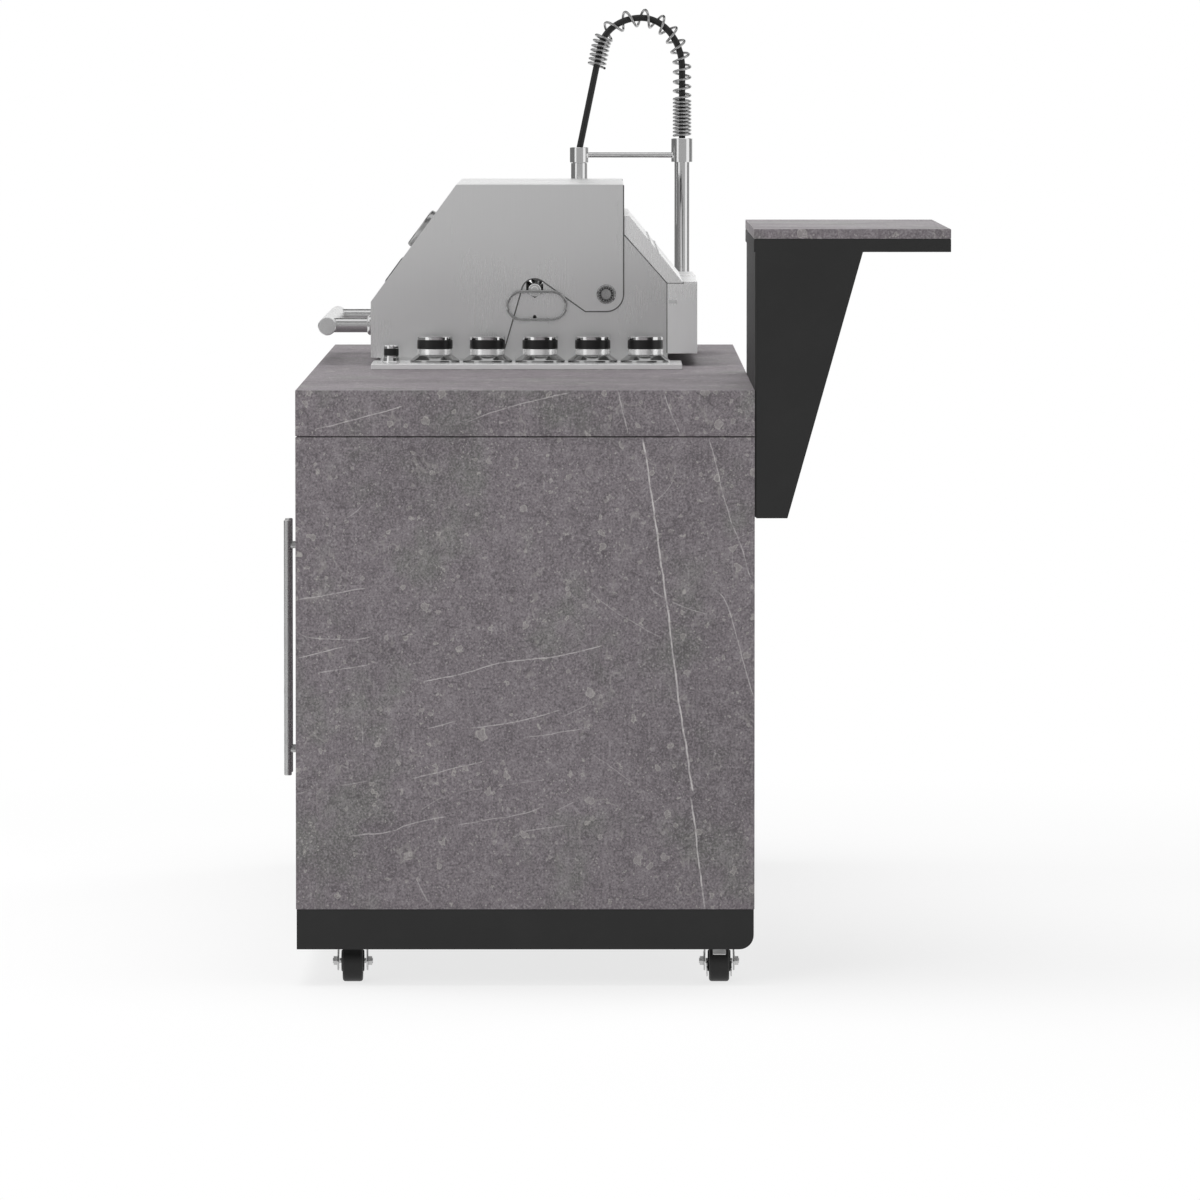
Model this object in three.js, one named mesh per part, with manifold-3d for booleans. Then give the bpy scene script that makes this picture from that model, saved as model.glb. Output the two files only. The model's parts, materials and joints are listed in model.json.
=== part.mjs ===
// An outdoor kitchen island on casters: a stone clad cabinet with five doors, a built in gas grill
// whose knobs stand on a side deck, a sink with a spring faucet, and a raised bar shelf at one end.
// Millimetres, +Z up, +X towards the bar end, -Y towards the cook.
import * as THREE from 'three';
import { mergeVertices } from 'three/addons/utils/BufferGeometryUtils.js';
import Module from 'manifold-3d';

const wasm = await Module();
wasm.setup();

// Fits shared by the whole island
const fit = 0.3;
const overrun = 5;
const roundSides = 16;
const smallSides = 10;
const pipeSides = 8;
const cornerSteps = 4;

// Cabinet
const islandLength = 2400;
const islandDepth = 700;
const worktopHeight = 910;
const apronHeight = 70;
const apronThickness = 20;
const slabThickness = 20;
const seam = 1.5;
const panelThickness = 18;
const backThickness = 12;
const plinthTop = 117;
const plinthHeight = 61;
const plinthInset = 1;
const plinthSheet = 3;
const plinthCorner = 22;
const plinthFlange = 26;
const floorSheet = 2;
const ledgeWidth = 20;
const stileWidth = 36;
const stileWall = 2;
const barDividerX = 300;
const sinkDividerX = -798;
const frameSheet = 4;
const frameBorder = 30;
const frameFlange = 3;

// Doors
const doorSideGap = 3;
const doorLift = 3;
const pivotInset = 6;
const pivotDiameter = 6;
const handleDiameter = 12;
const handleLength = 400;
const handlePostSpacing = 320;
const handlePostDiameter = 8;
const handleStandoff = 24;
const handleCentreHeight = 493;
const handleFromMeeting = 35;

// Casters
const casterHeight = 88;
const casterWheelDiameter = 63.5;
const casterWheelWidth = 31;
const casterHubWidth = 35;
const casterHubDiameter = 34;
const casterAxle = 8;
const casterForkGap = 41;
const casterForkSheet = 2.5;
const casterForkReach = 16;
const casterCrownSheet = 3;
const casterBearingHeight = 6;
const casterTrail = 24;
const casterNutDiameter = 15;
const casterNutLength = 8;
const casterPlateSize = 66;
const casterPlateSheet = 3;
const casterPostDiameter = 14;
const casterFromEnd = 106;
const frontCasterY = -265;
const rearCasterY = 297;
const casterTreadRound = 3;

// Bar shelf
const barLength = 862;
const barDepth = 300;
const barOverlap = 1.6;
const barTopHeight = 1155.5;
const barSlab = 15;
const barFrameHeight = 20;
const barFrameWidth = 30;
const barPlateSheet = 4;
const barPlateBottom = 715;
const gussetTopWidth = 164;
const gussetBottomWidth = 49.5;
const gussetSheet = 4;

// Grill. Its heights are measured from the worktop's top. X of the grill, stiles, sink and faucet is measured
// from the hood's near side, which lies this far from the sink end.
const grillFromSinkEnd = 1200;
const hoodWidth = 780;
const hoodSheet = 2;
const hoodRunningGap = 2;
const hoodFrontY = -261;
const hoodBottomHeight = 13;
const hoodFrontTopHeight = 105;
const hoodRidgeY = -120.6;
const hoodTopHeight = 297;
const pivotY = 125.3;
const pivotHeight = 117.4;
const lobeRadius = 28.4;
const lobeFrontY = 91;
const archY = 8;
const archHeight = 121;
const archRadius = 22;
const archStartAngle = 55;
const archEndAngle = 172;
const skirtSlopeShare = 0.2855;
const hingePinDiameter = 12;
const hingeRingDiameter = 32;
const hingeRingHeight = 6;
const hingeCapDiameter = 17;
const hoodHandleDiameter = 30;
const hoodHandleLength = 723;
const hoodHandleReach = 72.4;
const hoodHandleHeight = 64;
const hoodPostDiameter = 24;
const hoodFootDiameter = 33;
const hoodFootHeight = 8;
const hoodPostInset = 75;
const gaugeDiameter = 72;
const gaugeHeight = 10;
const gaugeRim = 5;
const gaugeDrop = 100;
const tubFrontY = -245;
const tubRearY = 226;
const tubSheet = 2;
const tubBottomHeight = -150;
const greaseHoleLength = 120;
const greaseHoleWidth = 80;
const rimWidth = 10;
const rimSheet = 2;
const sideShoulderHeight = 135;
const sidePeakY = 154;
const sidePeakHeight = 214;
const sideFrontHeight = 80;
const notchHalfWidth = 14;
const notchDepth = 10;
const notchApexHeight = 111;
const ventDiameter = 6;
const ventDrop = 31;
const coverTopHeight = 246;
const coverReach = 26;
const coverTopWidth = 9;
const coverRise = 0.6;
const rearBoxDepth = 48.4;
const rearBoxBottomHeight = 20;
const deckSheet = 9;
const deckStartX = 6.6;
const deckEndX = 217;
const deckFrontY = -256;
const deckRearY = 248;
const knobRowX = 114;
const knobDiameter = 57.6;
const knobHeight = 42;
const knobPitch = 85.7;
const firstKnobY = -154;
const knobCount = 5;
const knobStemDiameter = 10;
const knobMarkWidth = 5;
const knobMarkDepth = 2;
const bezelDiameter = 81;
const bezelHeight = 12;
const igniterY = -225;
const igniterDiameter = 24.4;
const igniterHeight = 28;
const igniterTravel = 4;
const igniterFlangeDiameter = 29.6;
const igniterFlangeHeight = 8;
const loopLength = 101;
const loopHeight = 51;
const loopWire = 5;
const loopStandoff = 22;
const loopCentreY = 11.5;
const loopCentreHeight = 99;
const loopUpperStudY = 28;
const loopLowerStudSpread = 22;
const spitRodDiameter = 12.6;
const spitCollarDiameter = 21;
const spitCollarLength = 16;
const spitTip = 9;
const grateDrop = 22;
const grateThickness = 7;
const grateBar = 7;
const grateBorder = 12;
const grateCount = 2;
const grateSlots = 16;
const grateLedge = 14;
const burnerDiameter = 28;
const burnerDrop = 75;
const valveDiameter = 26;
const valveLength = 46;
const valveNeckDiameter = 16;
const manifoldDiameter = 22;
const manifoldOffset = 30;
const manifoldOverhang = 40;
const valveStubDiameter = 14;

// Sink and faucet. The faucet's heights are measured from the worktop's top.
const faucetX = -990;
const faucetY = 258.4;
const bowlWidth = 320;
const bowlDepth = 360;
const bowlHeight = 190;
const bowlCentreY = 40;
const bowlCorner = 45;
const bowlSheet = 2;
const bowlFlange = 12;
const strainerDiameter = 110;
const strainerSheet = 3;
const basketDiameter = 84;
const basketDepth = 52;
const tailDiameter = 40;
const tailLength = 60;
const faucetBaseDiameter = 48;
const faucetBaseHeight = 128;
const faucetShankDiameter = 30;
const faucetShankLength = 60;
const columnDiameter = 26.6;
const columnSpigot = 18;
const columnSpigotDrop = 40;
const columnTopHeight = 323;
const sleeveDiameter = 37.7;
const sleeveTopHeight = 364;
const armDiameter = 9.6;
const armHeight = 335;
const holderY = 80;
const holderDiameter = 33;
const holderBottomHeight = 322;
const holderTopHeight = 348.5;
const sprayNeckDiameter = 22;
const sprayDiameter = 29;
const sprayLength = 110;
const sprayFlareDiameter = 34;
const sprayFlareLength = 22;
const sprayTaperLength = 22;
const hoseDiameter = 11.3;
const hoseSides = 6;
const hoseSteps = 36;
const springWire = 4.5;
const springDiameter = 33;
const springSteps = 8;
const springSides = 4;
const lowerTurns = 10;
const openTurns = 11;
const upperTurns = 7;
const lowerCoilLength = 63;
const upperCoilLength = 54;
const pitchGrowthShare = 1.6;
const archStartHeight = 485;
const hoseArchRise = 88;
const hoseFallY = 115.9;
const hoseFallRise = 60;
const upperCoilDrop = 40;
const hoseSeatDepth = 4;
const leverHubDiameter = 30;
const leverHubReach = 24;
const leverDiameter = 8;
const leverLength = 78;
const leverHeight = 62;
const leverBossReach = 34;
const leverBossDiameter = 24;
const leverSpindleDiameter = 10;
const leverSpindleLength = 14;

// Places that follow from the sizes above
const halfLength = islandLength / 2;
const halfDepth = islandDepth / 2;
const apronBottom = worktopHeight - apronHeight;
const slabBottom = worktopHeight - slabThickness;
const plinthBottom = plinthTop - plinthHeight;
const innerEnd = halfLength - panelThickness;
const grillX = grillFromSinkEnd - halfLength;
const floorTop = casterHeight + fit + floorSheet;
const frontY = -halfDepth;
const frameFrontY = frontY + apronThickness + fit;
const frameRearY = frameFrontY + frameSheet;
const forkTop = casterHeight - casterPlateSheet - casterBearingHeight;
const frameBottom = plinthTop + fit;
const doorBottom = frameBottom + frameFlange + doorLift;
const doorTop = apronBottom - fit - frameFlange - doorLift;
const fixedNearX = grillX - hoodSheet - hoodRunningGap;
const fixedFarX = grillX - hoodWidth + hoodSheet + hoodRunningGap;
const hoodRearY = pivotY + lobeRadius;
const hoodCentreX = grillX - hoodWidth / 2;
const deckNearX = grillX + deckEndX;
const deckFarX = grillX + deckStartX;
const knobX = grillX + knobRowX;
const tapX = grillX + faucetX;
const barStileX = grillX + barDividerX;
const sinkStileX = grillX + sinkDividerX;
const tubBottomZ = worktopHeight + tubBottomHeight;
const hoodBottomZ = worktopHeight + hoodBottomHeight;
const hoodFrontTopZ = worktopHeight + hoodFrontTopHeight;
const hoodTopZ = worktopHeight + hoodTopHeight;
const pivotZ = worktopHeight + pivotHeight;
const archZ = worktopHeight + archHeight;
const hoodHandleZ = worktopHeight + hoodHandleHeight;
const sideShoulderZ = worktopHeight + sideShoulderHeight;
const sidePeakZ = worktopHeight + sidePeakHeight;
const sideFrontZ = worktopHeight + sideFrontHeight;
const notchApexZ = worktopHeight + notchApexHeight;
const coverTopZ = worktopHeight + coverTopHeight;
const rearBoxBottomZ = worktopHeight + rearBoxBottomHeight;
const loopCentreZ = worktopHeight + loopCentreHeight;
const columnTopZ = worktopHeight + columnTopHeight;
const sleeveTopZ = worktopHeight + sleeveTopHeight;
const armZ = worktopHeight + armHeight;
const holderBottomZ = worktopHeight + holderBottomHeight;
const holderTopZ = worktopHeight + holderTopHeight;
const archStartZ = worktopHeight + archStartHeight;
const leverZ = worktopHeight + leverHeight;
const rimTop = worktopHeight + fit + rimSheet;
const deckTop = worktopHeight + fit + deckSheet;
const grateBottom = rimTop - grateDrop - grateThickness;
const burnerZ = rimTop - burnerDrop;
const archFootY = archY + archRadius * Math.cos(THREE.MathUtils.degToRad(archEndAngle));
const archFootZ = archZ + archRadius * Math.sin(THREE.MathUtils.degToRad(archEndAngle));
const skirtFootY = archFootY - skirtSlopeShare * (archFootZ - hoodBottomZ);
const spitZ = notchApexZ + fit
	+ spitCollarDiameter / 2 / Math.cos(Math.atan2(notchDepth, notchHalfWidth));
const knobYs = Array.from({ length: knobCount }, (_, index) => firstKnobY + index * knobPitch);

// Colours and finishes
const finishes = {
	stone: new THREE.MeshStandardMaterial({ color: 0x706b6d, roughness: 0.55, metalness: 0 }),
	blackPaint: new THREE.MeshStandardMaterial({ color: 0x2f2f2f, roughness: 0.6, metalness: 0.2 }),
	steel: new THREE.MeshStandardMaterial({ color: 0xa8a8a8, roughness: 0.35, metalness: 1 }),
	chrome: new THREE.MeshStandardMaterial({ color: 0xd8d8d8, roughness: 0.1, metalness: 1 }),
	zinc: new THREE.MeshStandardMaterial({ color: 0x9a9a9a, roughness: 0.45, metalness: 1 }),
	iron: new THREE.MeshStandardMaterial({ color: 0x1c1c1c, roughness: 0.7, metalness: 0.5 }),
	rubber: new THREE.MeshStandardMaterial({ color: 0x141414, roughness: 0.8, metalness: 0 }),
	brass: new THREE.MeshStandardMaterial({ color: 0xb08d4a, roughness: 0.4, metalness: 1 }),
};

const island = new THREE.Group();

// Turns a closed geometry into a solid that can be joined or cut.
function solidOf(geometry) {
	const bare = geometry.index ? geometry.toNonIndexed() : geometry.clone();
	bare.deleteAttribute('normal');
	bare.deleteAttribute('uv');
	const merged = mergeVertices(bare);
	return new wasm.Manifold(new wasm.Mesh({
		numProp: 3,
		vertProperties: new Float32Array(merged.attributes.position.array),
		triVerts: new Uint32Array(merged.index.array),
	}));
}

function geometryOf(solid) {
	const mesh = solid.getMesh();
	const geometry = new THREE.BufferGeometry();
	geometry.setAttribute('position', new THREE.BufferAttribute(new Float32Array(mesh.vertProperties), 3));
	geometry.setIndex(new THREE.BufferAttribute(new Uint32Array(mesh.triVerts), 1));
	return geometry;
}

function join(...parts) {
	return parts.slice(1).reduce((sum, part) => sum.add(part), parts[0]);
}

function cut(body, ...tools) {
	return tools.reduce((rest, tool) => rest.subtract(tool), body);
}

// Adds one named piece to the island.
function place(name, shape, finish) {
	const geometry = shape.isBufferGeometry ? shape : geometryOf(shape);
	geometry.computeVertexNormals();
	const mesh = new THREE.Mesh(geometry, finish);
	mesh.name = name;
	island.add(mesh);
	return mesh;
}

function block(x0, x1, y0, y1, z0, z1) {
	const geometry = new THREE.BoxGeometry(x1 - x0, y1 - y0, z1 - z0);
	geometry.translate((x0 + x1) / 2, (y0 + y1) / 2, (z0 + z1) / 2);
	return solidOf(geometry);
}

function outline(points) {
	return new THREE.Shape(points.map(([u, v]) => new THREE.Vector2(u, v)));
}

// Extrudes a shape drawn in Y and Z along X.
function alongX(shape, x0, x1, curveSegments = cornerSteps) {
	const geometry = new THREE.ExtrudeGeometry(shape, { depth: x1 - x0, bevelEnabled: false, curveSegments });
	geometry.applyMatrix4(new THREE.Matrix4().set(0, 0, 1, x0, 1, 0, 0, 0, 0, 1, 0, 0, 0, 0, 0, 1));
	return solidOf(geometry);
}

// Extrudes a shape drawn in X and Y up Z.
function alongZ(shape, z0, z1, curveSegments = cornerSteps) {
	const geometry = new THREE.ExtrudeGeometry(shape, { depth: z1 - z0, bevelEnabled: false, curveSegments });
	geometry.translate(0, 0, z0);
	return solidOf(geometry);
}

// A turned shape about +Z, its profile given as pairs of radius and height.
function turned(profile, sides = roundSides) {
	const points = profile.map(([radius, height]) => new THREE.Vector2(radius, height));
	const geometry = new THREE.LatheGeometry(points, sides);
	geometry.rotateX(Math.PI / 2);
	return geometry;
}

// Stands a turned shape on a point, with its axis along a direction.
function stand(geometry, origin, direction) {
	const turn = new THREE.Quaternion().setFromUnitVectors(
		new THREE.Vector3(0, 0, 1), new THREE.Vector3(...direction).normalize());
	geometry.applyQuaternion(turn);
	geometry.translate(...origin);
	return solidOf(geometry);
}

function rod(diameter, length, origin, direction, sides = smallSides) {
	const radius = diameter / 2;
	return stand(turned([[0, 0], [radius, 0], [radius, length], [0, length]], sides), origin, direction);
}

// A cutter whose flats lie on the stated circle, so that a round of that diameter passes.
function bore(diameter, length, origin, direction, sides = smallSides) {
	return rod(diameter / Math.cos(Math.PI / sides), length, origin, direction, sides);
}

function roundedRectangle(x0, x1, y0, y1, radius) {
	const shape = new THREE.Shape();
	shape.moveTo(x0 + radius, y0);
	shape.lineTo(x1 - radius, y0);
	shape.absarc(x1 - radius, y0 + radius, radius, -Math.PI / 2, 0);
	shape.lineTo(x1, y1 - radius);
	shape.absarc(x1 - radius, y1 - radius, radius, 0, Math.PI / 2);
	shape.lineTo(x0 + radius, y1);
	shape.absarc(x0 + radius, y1 - radius, radius, Math.PI / 2, Math.PI);
	shape.lineTo(x0, y0 + radius);
	shape.absarc(x0 + radius, y0 + radius, radius, Math.PI, Math.PI * 1.5);
	return shape;
}

// Cabinet

function buildWorktop() {
	const outer = block(-halfLength, halfLength, -halfDepth, halfDepth, apronBottom, worktopHeight);
	const inner = block(-halfLength + apronThickness, halfLength - apronThickness, -halfDepth + apronThickness,
		halfDepth - apronThickness, apronBottom - overrun, slabBottom);
	const grillHole = block(fixedFarX - rimSheet, deckNearX - rimWidth, tubFrontY - rimSheet,
		tubRearY + rimSheet, slabBottom - overrun, worktopHeight + overrun);
	const bowlHole = alongZ(bowlOutline(0), slabBottom - overrun, worktopHeight + overrun);
	const faucetHole = bore(faucetShankDiameter + 2 * fit, slabThickness + 2 * overrun,
		[tapX, faucetY, slabBottom - overrun], [0, 0, 1]);
	place('worktop', cut(outer, inner, grillHole, bowlHole, faucetHole), finishes.stone);
}

// Plan of the sink bowl, grown outwards by a wall.
function bowlOutline(grow) {
	return roundedRectangle(tapX - bowlWidth / 2 - grow, tapX + bowlWidth / 2 + grow,
		bowlCentreY - bowlDepth / 2 - grow, bowlCentreY + bowlDepth / 2 + grow,
		bowlCorner + grow);
}

function buildPanels() {
	const panelTop = apronBottom - seam;
	place('right_end_panel', block(innerEnd, halfLength, -halfDepth, halfDepth, plinthTop + fit, panelTop),
		finishes.stone);
	place('left_end_panel', block(-halfLength, -innerEnd, -halfDepth, halfDepth, plinthTop + fit, panelTop),
		finishes.stone);
	place('back_panel', block(-innerEnd + fit, innerEnd - fit, halfDepth - backThickness, halfDepth,
		plinthTop + fit, panelTop), finishes.stone);
}

function buildDividers() {
	const rearEdge = halfDepth - plinthInset - plinthFlange - fit;
	const frontEdge = -rearEdge;
	for (const [name, x] of [['bar_divider', barStileX], ['sink_divider', sinkStileX]]) {
		const half = stileWidth / 2;
		const outer = block(x - half, x + half, frontEdge, rearEdge, floorTop + fit, slabBottom - fit);
		const inner = block(x - half + stileWall, x + half - stileWall, frontEdge + stileWall, rearEdge - stileWall,
			floorTop - overrun, slabBottom + overrun);
		place(name, cut(outer, inner), finishes.zinc);
	}
}

// The black skirt: front and end walls down to the casters, a shorter rear wall that ends where the
// end walls' lower rear corners begin to round.
function buildPlinth() {
	const x1 = halfLength - plinthInset;
	const y1 = halfDepth - plinthInset;
	const side = new THREE.Shape();
	side.moveTo(-y1, plinthBottom);
	side.lineTo(y1 - plinthCorner, plinthBottom);
	side.absarc(y1 - plinthCorner, plinthBottom + plinthCorner, plinthCorner, -Math.PI / 2, 0);
	side.lineTo(y1, plinthTop);
	side.lineTo(-y1, plinthTop);
	const outer = alongX(side, -x1, x1);
	const wallX = x1 - plinthSheet;
	const wallY = y1 - plinthSheet;
	const flangeX = x1 - plinthFlange;
	const flangeY = y1 - plinthFlange;
	const ledgeX = x1 - ledgeWidth;
	const throat = block(-flangeX, flangeX, -flangeY, flangeY, plinthBottom - overrun, plinthTop + overrun);
	const floorSpace = block(-wallX, wallX, -wallY, wallY, casterHeight, plinthTop - plinthSheet);
	const under = block(-wallX, wallX, -wallY, wallY, plinthBottom - overrun, casterHeight - plinthSheet);
	const ledgeSpace = block(-ledgeX, ledgeX, ledgeWidth - y1, wallY, casterHeight - plinthSheet - overrun,
		casterHeight + overrun);
	const rearReturn = block(-wallX, wallX, y1 - plinthCorner - overrun, y1 + overrun,
		plinthBottom - overrun, plinthBottom + plinthCorner);
	place('base_plinth', cut(outer, throat, floorSpace, under, ledgeSpace, rearReturn), finishes.blackPaint);
}

// The floor sheet on the plinth's ledge, with a welded plate and a bearing above each caster.
function buildFloor() {
	const floorX = halfLength - plinthInset - plinthSheet - fit;
	const floorY = halfDepth - plinthInset - plinthSheet - fit;
	const sheet = block(-floorX, floorX, -floorY, floorY, casterHeight + fit, floorTop);
	const half = casterPlateSize / 2;
	const plateTop = casterHeight + fit + floorSheet / 2;
	const plates = casterSpots.flatMap(({ x, y }) => [
		block(x - half, x + half, y - half, y + half, casterHeight - casterPlateSheet, plateTop),
		rod(casterForkGap, casterPlateSheet + casterBearingHeight - fit, [x, y, forkTop + fit], [0, 0, 1], roundSides),
	]);
	const postHoles = casterSpots.map(({ x, y }) =>
		bore(casterPostDiameter + 2 * fit, casterHeight, [x, y, 0], [0, 0, 1]));
	place('cabinet_floor', cut(join(sheet, ...plates), ...postHoles), finishes.zinc);
}

// The three cabinet openings, from the bar end to the sink end, with the doors that each one has.
const modules = [
	{ x0: barStileX + stileWidth / 2, x1: innerEnd, pair: true },
	{ x0: sinkStileX + stileWidth / 2, x1: barStileX - stileWidth / 2, pair: true },
	{ x0: -innerEnd, x1: sinkStileX - stileWidth / 2, pair: false },
];

// Each door: its two side edges, and the side of its pivot, +1 at its +X edge.
const doors = modules.flatMap(({ x0, x1, pair }) => {
	const left = x0 + doorSideGap;
	const right = x1 - doorSideGap;
	if (!pair) return [{ x0: left, x1: right, side: -1 }];
	const middle = (left + right) / 2;
	return [
		{ x0: middle + doorSideGap / 2, x1: right, side: 1 },
		{ x0: left, x1: middle - doorSideGap / 2, side: -1 },
	];
});

for (const door of doors) {
	door.pivotX = door.side > 0 ? door.x1 - pivotInset : door.x0 + pivotInset;
	door.pivotY = frontY + pivotInset;
	door.handleX = door.side > 0 ? door.x0 - doorSideGap / 2 + handleFromMeeting
		: door.x1 + doorSideGap / 2 - handleFromMeeting;
}

// One sheet frame behind all the doors, with flanges that hold their pivots and a stile between modules.
function buildDoorFrame() {
	const right = halfLength - apronThickness - fit;
	const flangeEnd = right - seam;
	const flangeFrontY = frontY + seam;
	const upperTop = apronBottom - fit;
	const weldY = (frameFrontY + frameRearY) / 2;
	const weldRise = frameFlange / 2;
	const sheet = block(-right, right, frameFrontY, frameRearY, frameBottom + weldRise, slabBottom - fit);
	const openings = modules.map(({ x0, x1 }) => block(x0 + frameBorder, x1 - frameBorder, frontY, 0,
		frameBottom + frameBorder, apronBottom - frameBorder));
	const lower = block(-flangeEnd, flangeEnd, flangeFrontY, weldY, frameBottom, frameBottom + frameFlange);
	const upper = block(-flangeEnd, flangeEnd, flangeFrontY, weldY, upperTop - frameFlange, upperTop);
	const stiles = [barStileX, sinkStileX].map((x) => block(x - stileWidth / 2, x + stileWidth / 2,
		frontY, weldY, frameBottom + weldRise, upperTop - weldRise));
	const bushes = doors.map((door) => bore(pivotDiameter + 2 * fit, worktopHeight,
		[door.pivotX, door.pivotY, 0], [0, 0, 1], pipeSides));
	place('door_frame', cut(join(cut(sheet, ...openings), lower, upper, ...stiles), ...bushes), finishes.blackPaint);
}

function buildDoors() {
	doors.forEach((door, index) => {
		const slab = block(door.x0, door.x1, frontY, frontY + panelThickness, doorBottom, doorTop);
		const pin = rod(pivotDiameter, doorTop - doorBottom + 2 * (doorLift + frameFlange) - 2 * fit,
			[door.pivotX, door.pivotY, doorBottom - doorLift - frameFlange + fit], [0, 0, 1], pipeSides);
		place(`door_${index + 1}`, join(slab, pin), finishes.stone);
		const barY = frontY - handleStandoff;
		const low = handleCentreHeight - handleLength / 2;
		const bar = rod(handleDiameter, handleLength, [door.handleX, barY, low], [0, 0, 1]);
		const posts = [-1, 1].map((end) => rod(handlePostDiameter, handleStandoff - fit,
			[door.handleX, frontY - fit, handleCentreHeight + end * handlePostSpacing / 2], [0, -1, 0], pipeSides));
		place(`door_handle_${index + 1}`, join(bar, ...posts), finishes.steel);
	});
}

// Casters

const casterSpots = [halfLength - casterFromEnd, 0, casterFromEnd - halfLength].flatMap((x) =>
	[frontCasterY, rearCasterY].map((y) => ({ x, y })));

function buildCasters() {
	const axleHeight = casterWheelDiameter / 2;
	casterSpots.forEach(({ x, y }, index) => {
		const axleX = x + casterTrail;
		const outerY = casterForkGap / 2 + casterForkSheet;
		const leg = new THREE.Shape();
		leg.moveTo(x - casterForkReach, forkTop);
		leg.lineTo(x + casterForkReach, forkTop);
		leg.lineTo(axleX + casterForkReach, axleHeight);
		leg.absarc(axleX, axleHeight, casterForkReach, 0, -Math.PI, true);
		const legs = [y - outerY, y + casterForkGap / 2].map((y0) => {
			const geometry = new THREE.ExtrudeGeometry(leg, {
				depth: casterForkSheet, bevelEnabled: false, curveSegments: cornerSteps,
			});
			geometry.rotateX(Math.PI / 2);
			geometry.translate(0, y0 + casterForkSheet, 0);
			return solidOf(geometry);
		});
		const crown = block(x - casterForkReach, x + casterForkReach, y - outerY, y + outerY,
			forkTop - casterCrownSheet, forkTop);
		const post = rod(casterPostDiameter, casterPlateSheet + casterBearingHeight + casterCrownSheet / 2 - fit,
			[x, y, forkTop - casterCrownSheet / 2], [0, 0, 1]);
		const axle = rod(casterAxle, 2 * outerY, [axleX, y - outerY, axleHeight], [0, 1, 0]);
		const nuts = [-1, 1].map((end) => rod(casterNutDiameter, casterNutLength,
			[axleX, y + end * (outerY - casterForkSheet / 2), axleHeight], [0, end, 0], smallSides / 2));
		place(`caster_fork_${index + 1}`, join(crown, ...legs, post, axle, ...nuts), finishes.zinc);

		const radius = casterWheelDiameter / 2;
		const wheelBore = casterAxle / 2 + fit;
		const tread = casterWheelWidth / 2;
		const hub = casterHubWidth / 2;
		const wheel = turned([
			[wheelBore, -hub], [casterHubDiameter / 2, -hub], [casterHubDiameter / 2, -tread],
			[radius - casterTreadRound, -tread], [radius, casterTreadRound - tread],
			[radius, tread - casterTreadRound], [radius - casterTreadRound, tread],
			[casterHubDiameter / 2, tread], [casterHubDiameter / 2, hub], [wheelBore, hub], [wheelBore, -hub],
		]);
		place(`caster_wheel_${index + 1}`, stand(wheel, [axleX, y, axleHeight], [0, 1, 0]), finishes.rubber);
	});
}

// Bar shelf

function buildBar() {
	const x0 = halfLength - barLength;
	const y0 = halfDepth - barOverlap;
	const slabZ = barTopHeight - barSlab;
	place('bar_top', block(x0, halfLength, y0, y0 + barDepth, slabZ, barTopHeight), finishes.stone);
	const frameTop = slabZ - fit;
	const frameZ = slabZ - barFrameHeight;
	const ring = cut(
		block(x0, halfLength, y0, y0 + barDepth, frameZ, frameTop),
		block(x0 + barFrameWidth, halfLength - barFrameWidth, y0 + barFrameWidth,
			y0 + barDepth - barFrameWidth, frameZ - overrun, slabZ + overrun));
	const plateY = halfDepth + fit;
	const plate = block(x0 + gussetSheet / 2, halfLength - gussetSheet / 2, plateY, plateY + barPlateSheet,
		barPlateBottom + seam, frameZ + barPlateSheet);
	const weldY = plateY + barPlateSheet / 2;
	const weldZ = frameZ + barPlateSheet / 2;
	const gusset = outline([
		[weldY, barPlateBottom], [plateY + gussetBottomWidth, barPlateBottom],
		[plateY + gussetTopWidth, frameZ], [plateY + gussetTopWidth, weldZ], [weldY, weldZ],
	]);
	const gussets = [x0, halfLength - gussetSheet].map((x) => alongX(gusset, x, x + gussetSheet));
	place('bar_bracket', join(ring, plate, ...gussets), finishes.blackPaint);
}

// Grill

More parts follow.
